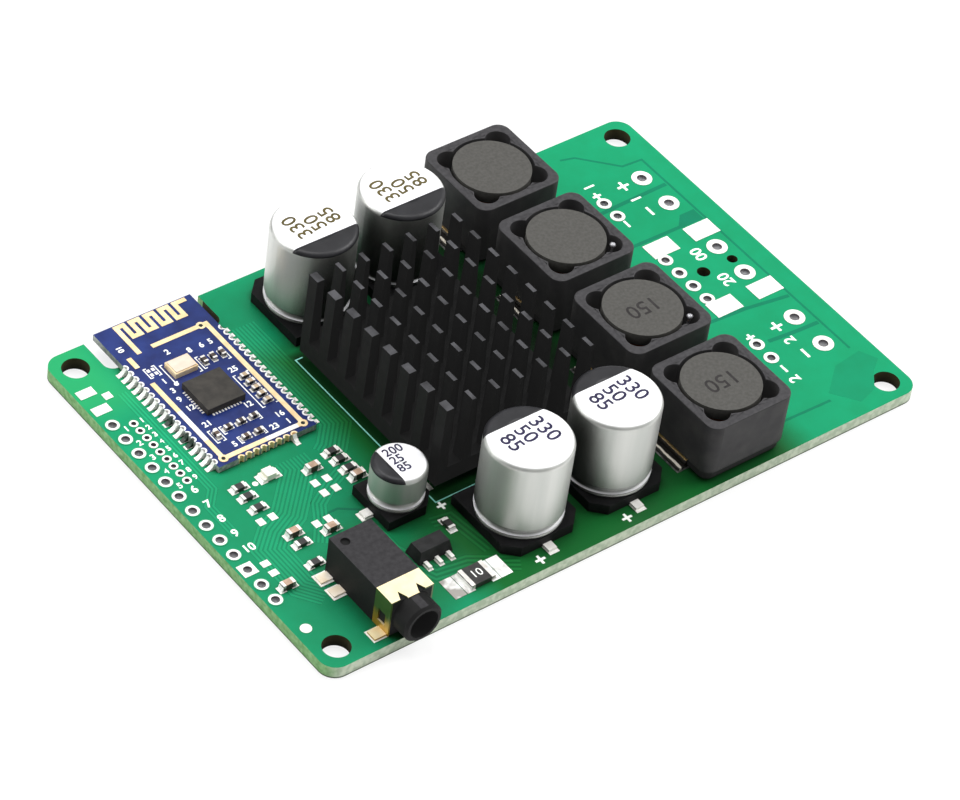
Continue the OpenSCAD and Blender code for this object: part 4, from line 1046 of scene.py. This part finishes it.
def can_print(node, lines, size, turn, start, drop, mat):
    """Rating numbers on one can's top.

    The lines start at a distance from the can's axis, and their middle one lies below it by the drop.
    """
    cx, cy, _ = mid(node)
    ink = Sheet(top_of(node))
    t = math.radians(turn)
    ahead = Vector((math.cos(t), math.sin(t)))
    up = Vector((-math.sin(t), math.cos(t)))
    for i, body in enumerate(lines):
        rise = ((len(lines) - 1) / 2 - i) * size * LINE_PITCH - drop
        p = Vector((cx, cy)) + ahead * start + up * rise
        ink.text(body, p.x, p.y, size, turn, SEMIBOLD, "LEFT")
    ink.make(node + "_print", mat)


def top_print(node, name, body, size, turn, bold, mat):
    """One number in the middle of a part's flat top."""
    stamp = Sheet(top_of(node), STAMP_T)
    x, y, _ = mid(node)
    stamp.text(body, x, y, size, turn, bold)
    stamp.make(name, mat)


board_tracks()
for i in (2, 3):
    wire_end(i)
silk_marks()
module_marks()
for can in numbered("capacitor_can")[:2]:
    can_band(can, turn=90, chord=2.6)
    can_print(can, LARGE_RATING, LARGE_SIZE, turn=-83, start=-1.85, drop=0.05, mat=INK)
for can in numbered("capacitor_can")[2:]:
    can_band(can, turn=-90, chord=2.1)
    can_print(can, LARGE_RATING, LARGE_SIZE, turn=97, start=-1.0, drop=0.4, mat=OLIVE_INK)
can_band("small_capacitor_can", turn=180, chord=1.3)
can_print("small_capacitor_can", SMALL_RATING, SMALL_SIZE, turn=0, start=-0.9, drop=-0.37, mat=INK)
for i in (3, 4):
    drum, name = "inductor_drum_%d" % i, "inductor_%d_print" % i
    top_print(drum, name, "150", size=2.9, turn=180, bold=LIGHT, mat=STAMP)
top_print("wide_resistor", "wide_resistor_print", "10", size=1.5, turn=0, bold=0.0, mat=SILK)


# Floor and light; the floor's half width and the lamps' places and sides are in metres, their power in watts

FLOOR_HALF = 1.5
FLOOR_DROP = 0.06
FLOOR_GLOW = 0.78
SKY_TOWARDS = (0.55, -0.15, 0.82)
SKY_DARK = (0.16, 0.16, 0.165, 1)
SKY_BRIGHT = (1, 1, 1, 1)
SKY_FULL_AT = 0.85
SKY_STRENGTH = 0.85
LAMPS = [
    ("key", (0.42, -0.1, 0.45), 0.35, 2.8),
    ("top", (0.0, 0.2, 0.6), 0.4, 2.4),
    ("back", (-0.38, 0.3, 0.3), 0.3, 1.5),
]


def floor_material():
    """White floor that the camera sees brighter than the object does."""
    s = Shader("floor_white", rough=0.9, spec=0.0)
    s.color(s.two(8, (0.92, 0.92, 0.92, 1), (0.94, 0.94, 0.94, 1), 0.4, 0.6), (0.93, 0.93, 0.93, 1))
    glow = s.node("ShaderNodeEmission")
    glow.inputs["Color"].default_value = (1, 1, 1, 1)
    glow.inputs["Strength"].default_value = 1.0
    blend = s.node("ShaderNodeMixShader")
    path = s.node("ShaderNodeLightPath")
    s.link(s.math("MULTIPLY", path.outputs["Is Camera Ray"], FLOOR_GLOW), blend.inputs[0])
    s.link(s.bsdf.outputs[0], blend.inputs[1])
    s.link(glow.outputs[0], blend.inputs[2])
    out = next(n for n in s.tree.nodes if n.type == "OUTPUT_MATERIAL")
    s.link(blend.outputs[0], out.inputs["Surface"])
    return s.mat


def build_floor():
    """A wide plane just under the board."""
    w, z = FLOOR_HALF, -FLOOR_DROP * MM
    mesh = bpy.data.meshes.new("floor")
    mesh.from_pydata([(-w, -w, z), (w, -w, z), (w, w, z), (-w, w, z)], [], [(0, 1, 2, 3)])
    mesh.materials.append(floor_material())
    floor = bpy.data.objects.new("floor", mesh)
    bpy.context.scene.collection.objects.link(floor)


def build_sky():
    """Studio light from all round, brighter on one side."""
    world = bpy.data.worlds.new("studio")
    world.use_nodes = True
    tree = world.node_tree
    back = next(n for n in tree.nodes if n.type == "BACKGROUND")
    coord = tree.nodes.new("ShaderNodeTexCoord")
    towards = tree.nodes.new("ShaderNodeVectorMath")
    towards.operation = "DOT_PRODUCT"
    towards.inputs[1].default_value = SKY_TOWARDS
    tree.links.new(coord.outputs["Generated"], towards.inputs[0])
    ramp = tree.nodes.new("ShaderNodeValToRGB")
    dark, bright = ramp.color_ramp.elements
    dark.position = 0.0
    dark.color = SKY_DARK
    bright.position = SKY_FULL_AT
    bright.color = SKY_BRIGHT
    tree.links.new(towards.outputs["Value"], ramp.inputs[0])
    tree.links.new(ramp.outputs[0], back.inputs["Color"])
    back.inputs["Strength"].default_value = SKY_STRENGTH
    bpy.context.scene.world = world


def build_lamp(name, at, size, power):
    """A square soft lamp that looks at the middle of the board."""
    light = bpy.data.lights.new(name, "AREA")
    light.shape = "SQUARE"
    light.size = size
    light.energy = power
    obj = bpy.data.objects.new(name, light)
    obj.location = at
    obj.rotation_euler = (-Vector(at)).to_track_quat("-Z", "Y").to_euler()
    bpy.context.scene.collection.objects.link(obj)


# Camera, as worked out from the photograph; its angles are given in degrees and kept in radians

CAMERA_AZIMUTH = math.radians(-43.503)
CAMERA_ELEVATION = math.radians(43.421)
CAMERA_ROLL = math.radians(8.629)
CAMERA_TARGET = Vector((-1.91, -1.61, 0.0))
CAMERA_DISTANCE = 476.194
CAMERA_LENS = 160.55
CAMERA_SENSOR = 36.0


def build_camera():
    """A camera that looks at its target from an azimuth and elevation, and is rolled about its view."""
    level = math.cos(CAMERA_ELEVATION)
    back = Vector((math.sin(CAMERA_AZIMUTH) * level, -math.cos(CAMERA_AZIMUTH) * level,
                   math.sin(CAMERA_ELEVATION)))
    right = Vector((math.cos(CAMERA_AZIMUTH), math.sin(CAMERA_AZIMUTH), 0.0))
    up = back.cross(right)
    rolled_right = right * math.cos(CAMERA_ROLL) + up * math.sin(CAMERA_ROLL)
    rolled_up = up * math.cos(CAMERA_ROLL) - right * math.sin(CAMERA_ROLL)
    cam = bpy.data.cameras.new("camera")
    cam.sensor_fit = "HORIZONTAL"
    cam.sensor_width = CAMERA_SENSOR
    cam.lens = CAMERA_LENS
    cam.clip_start = 0.01
    obj = bpy.data.objects.new("camera", cam)
    place = Matrix((rolled_right, rolled_up, back)).transposed().to_4x4()
    place.translation = (CAMERA_TARGET + back * CAMERA_DISTANCE) * MM
    obj.matrix_world = place
    bpy.context.scene.collection.objects.link(obj)
    bpy.context.scene.camera = obj


build_floor()
build_sky()
for lamp in LAMPS:
    build_lamp(*lamp)
build_camera()
bpy.context.scene.view_settings.view_transform = "Standard"
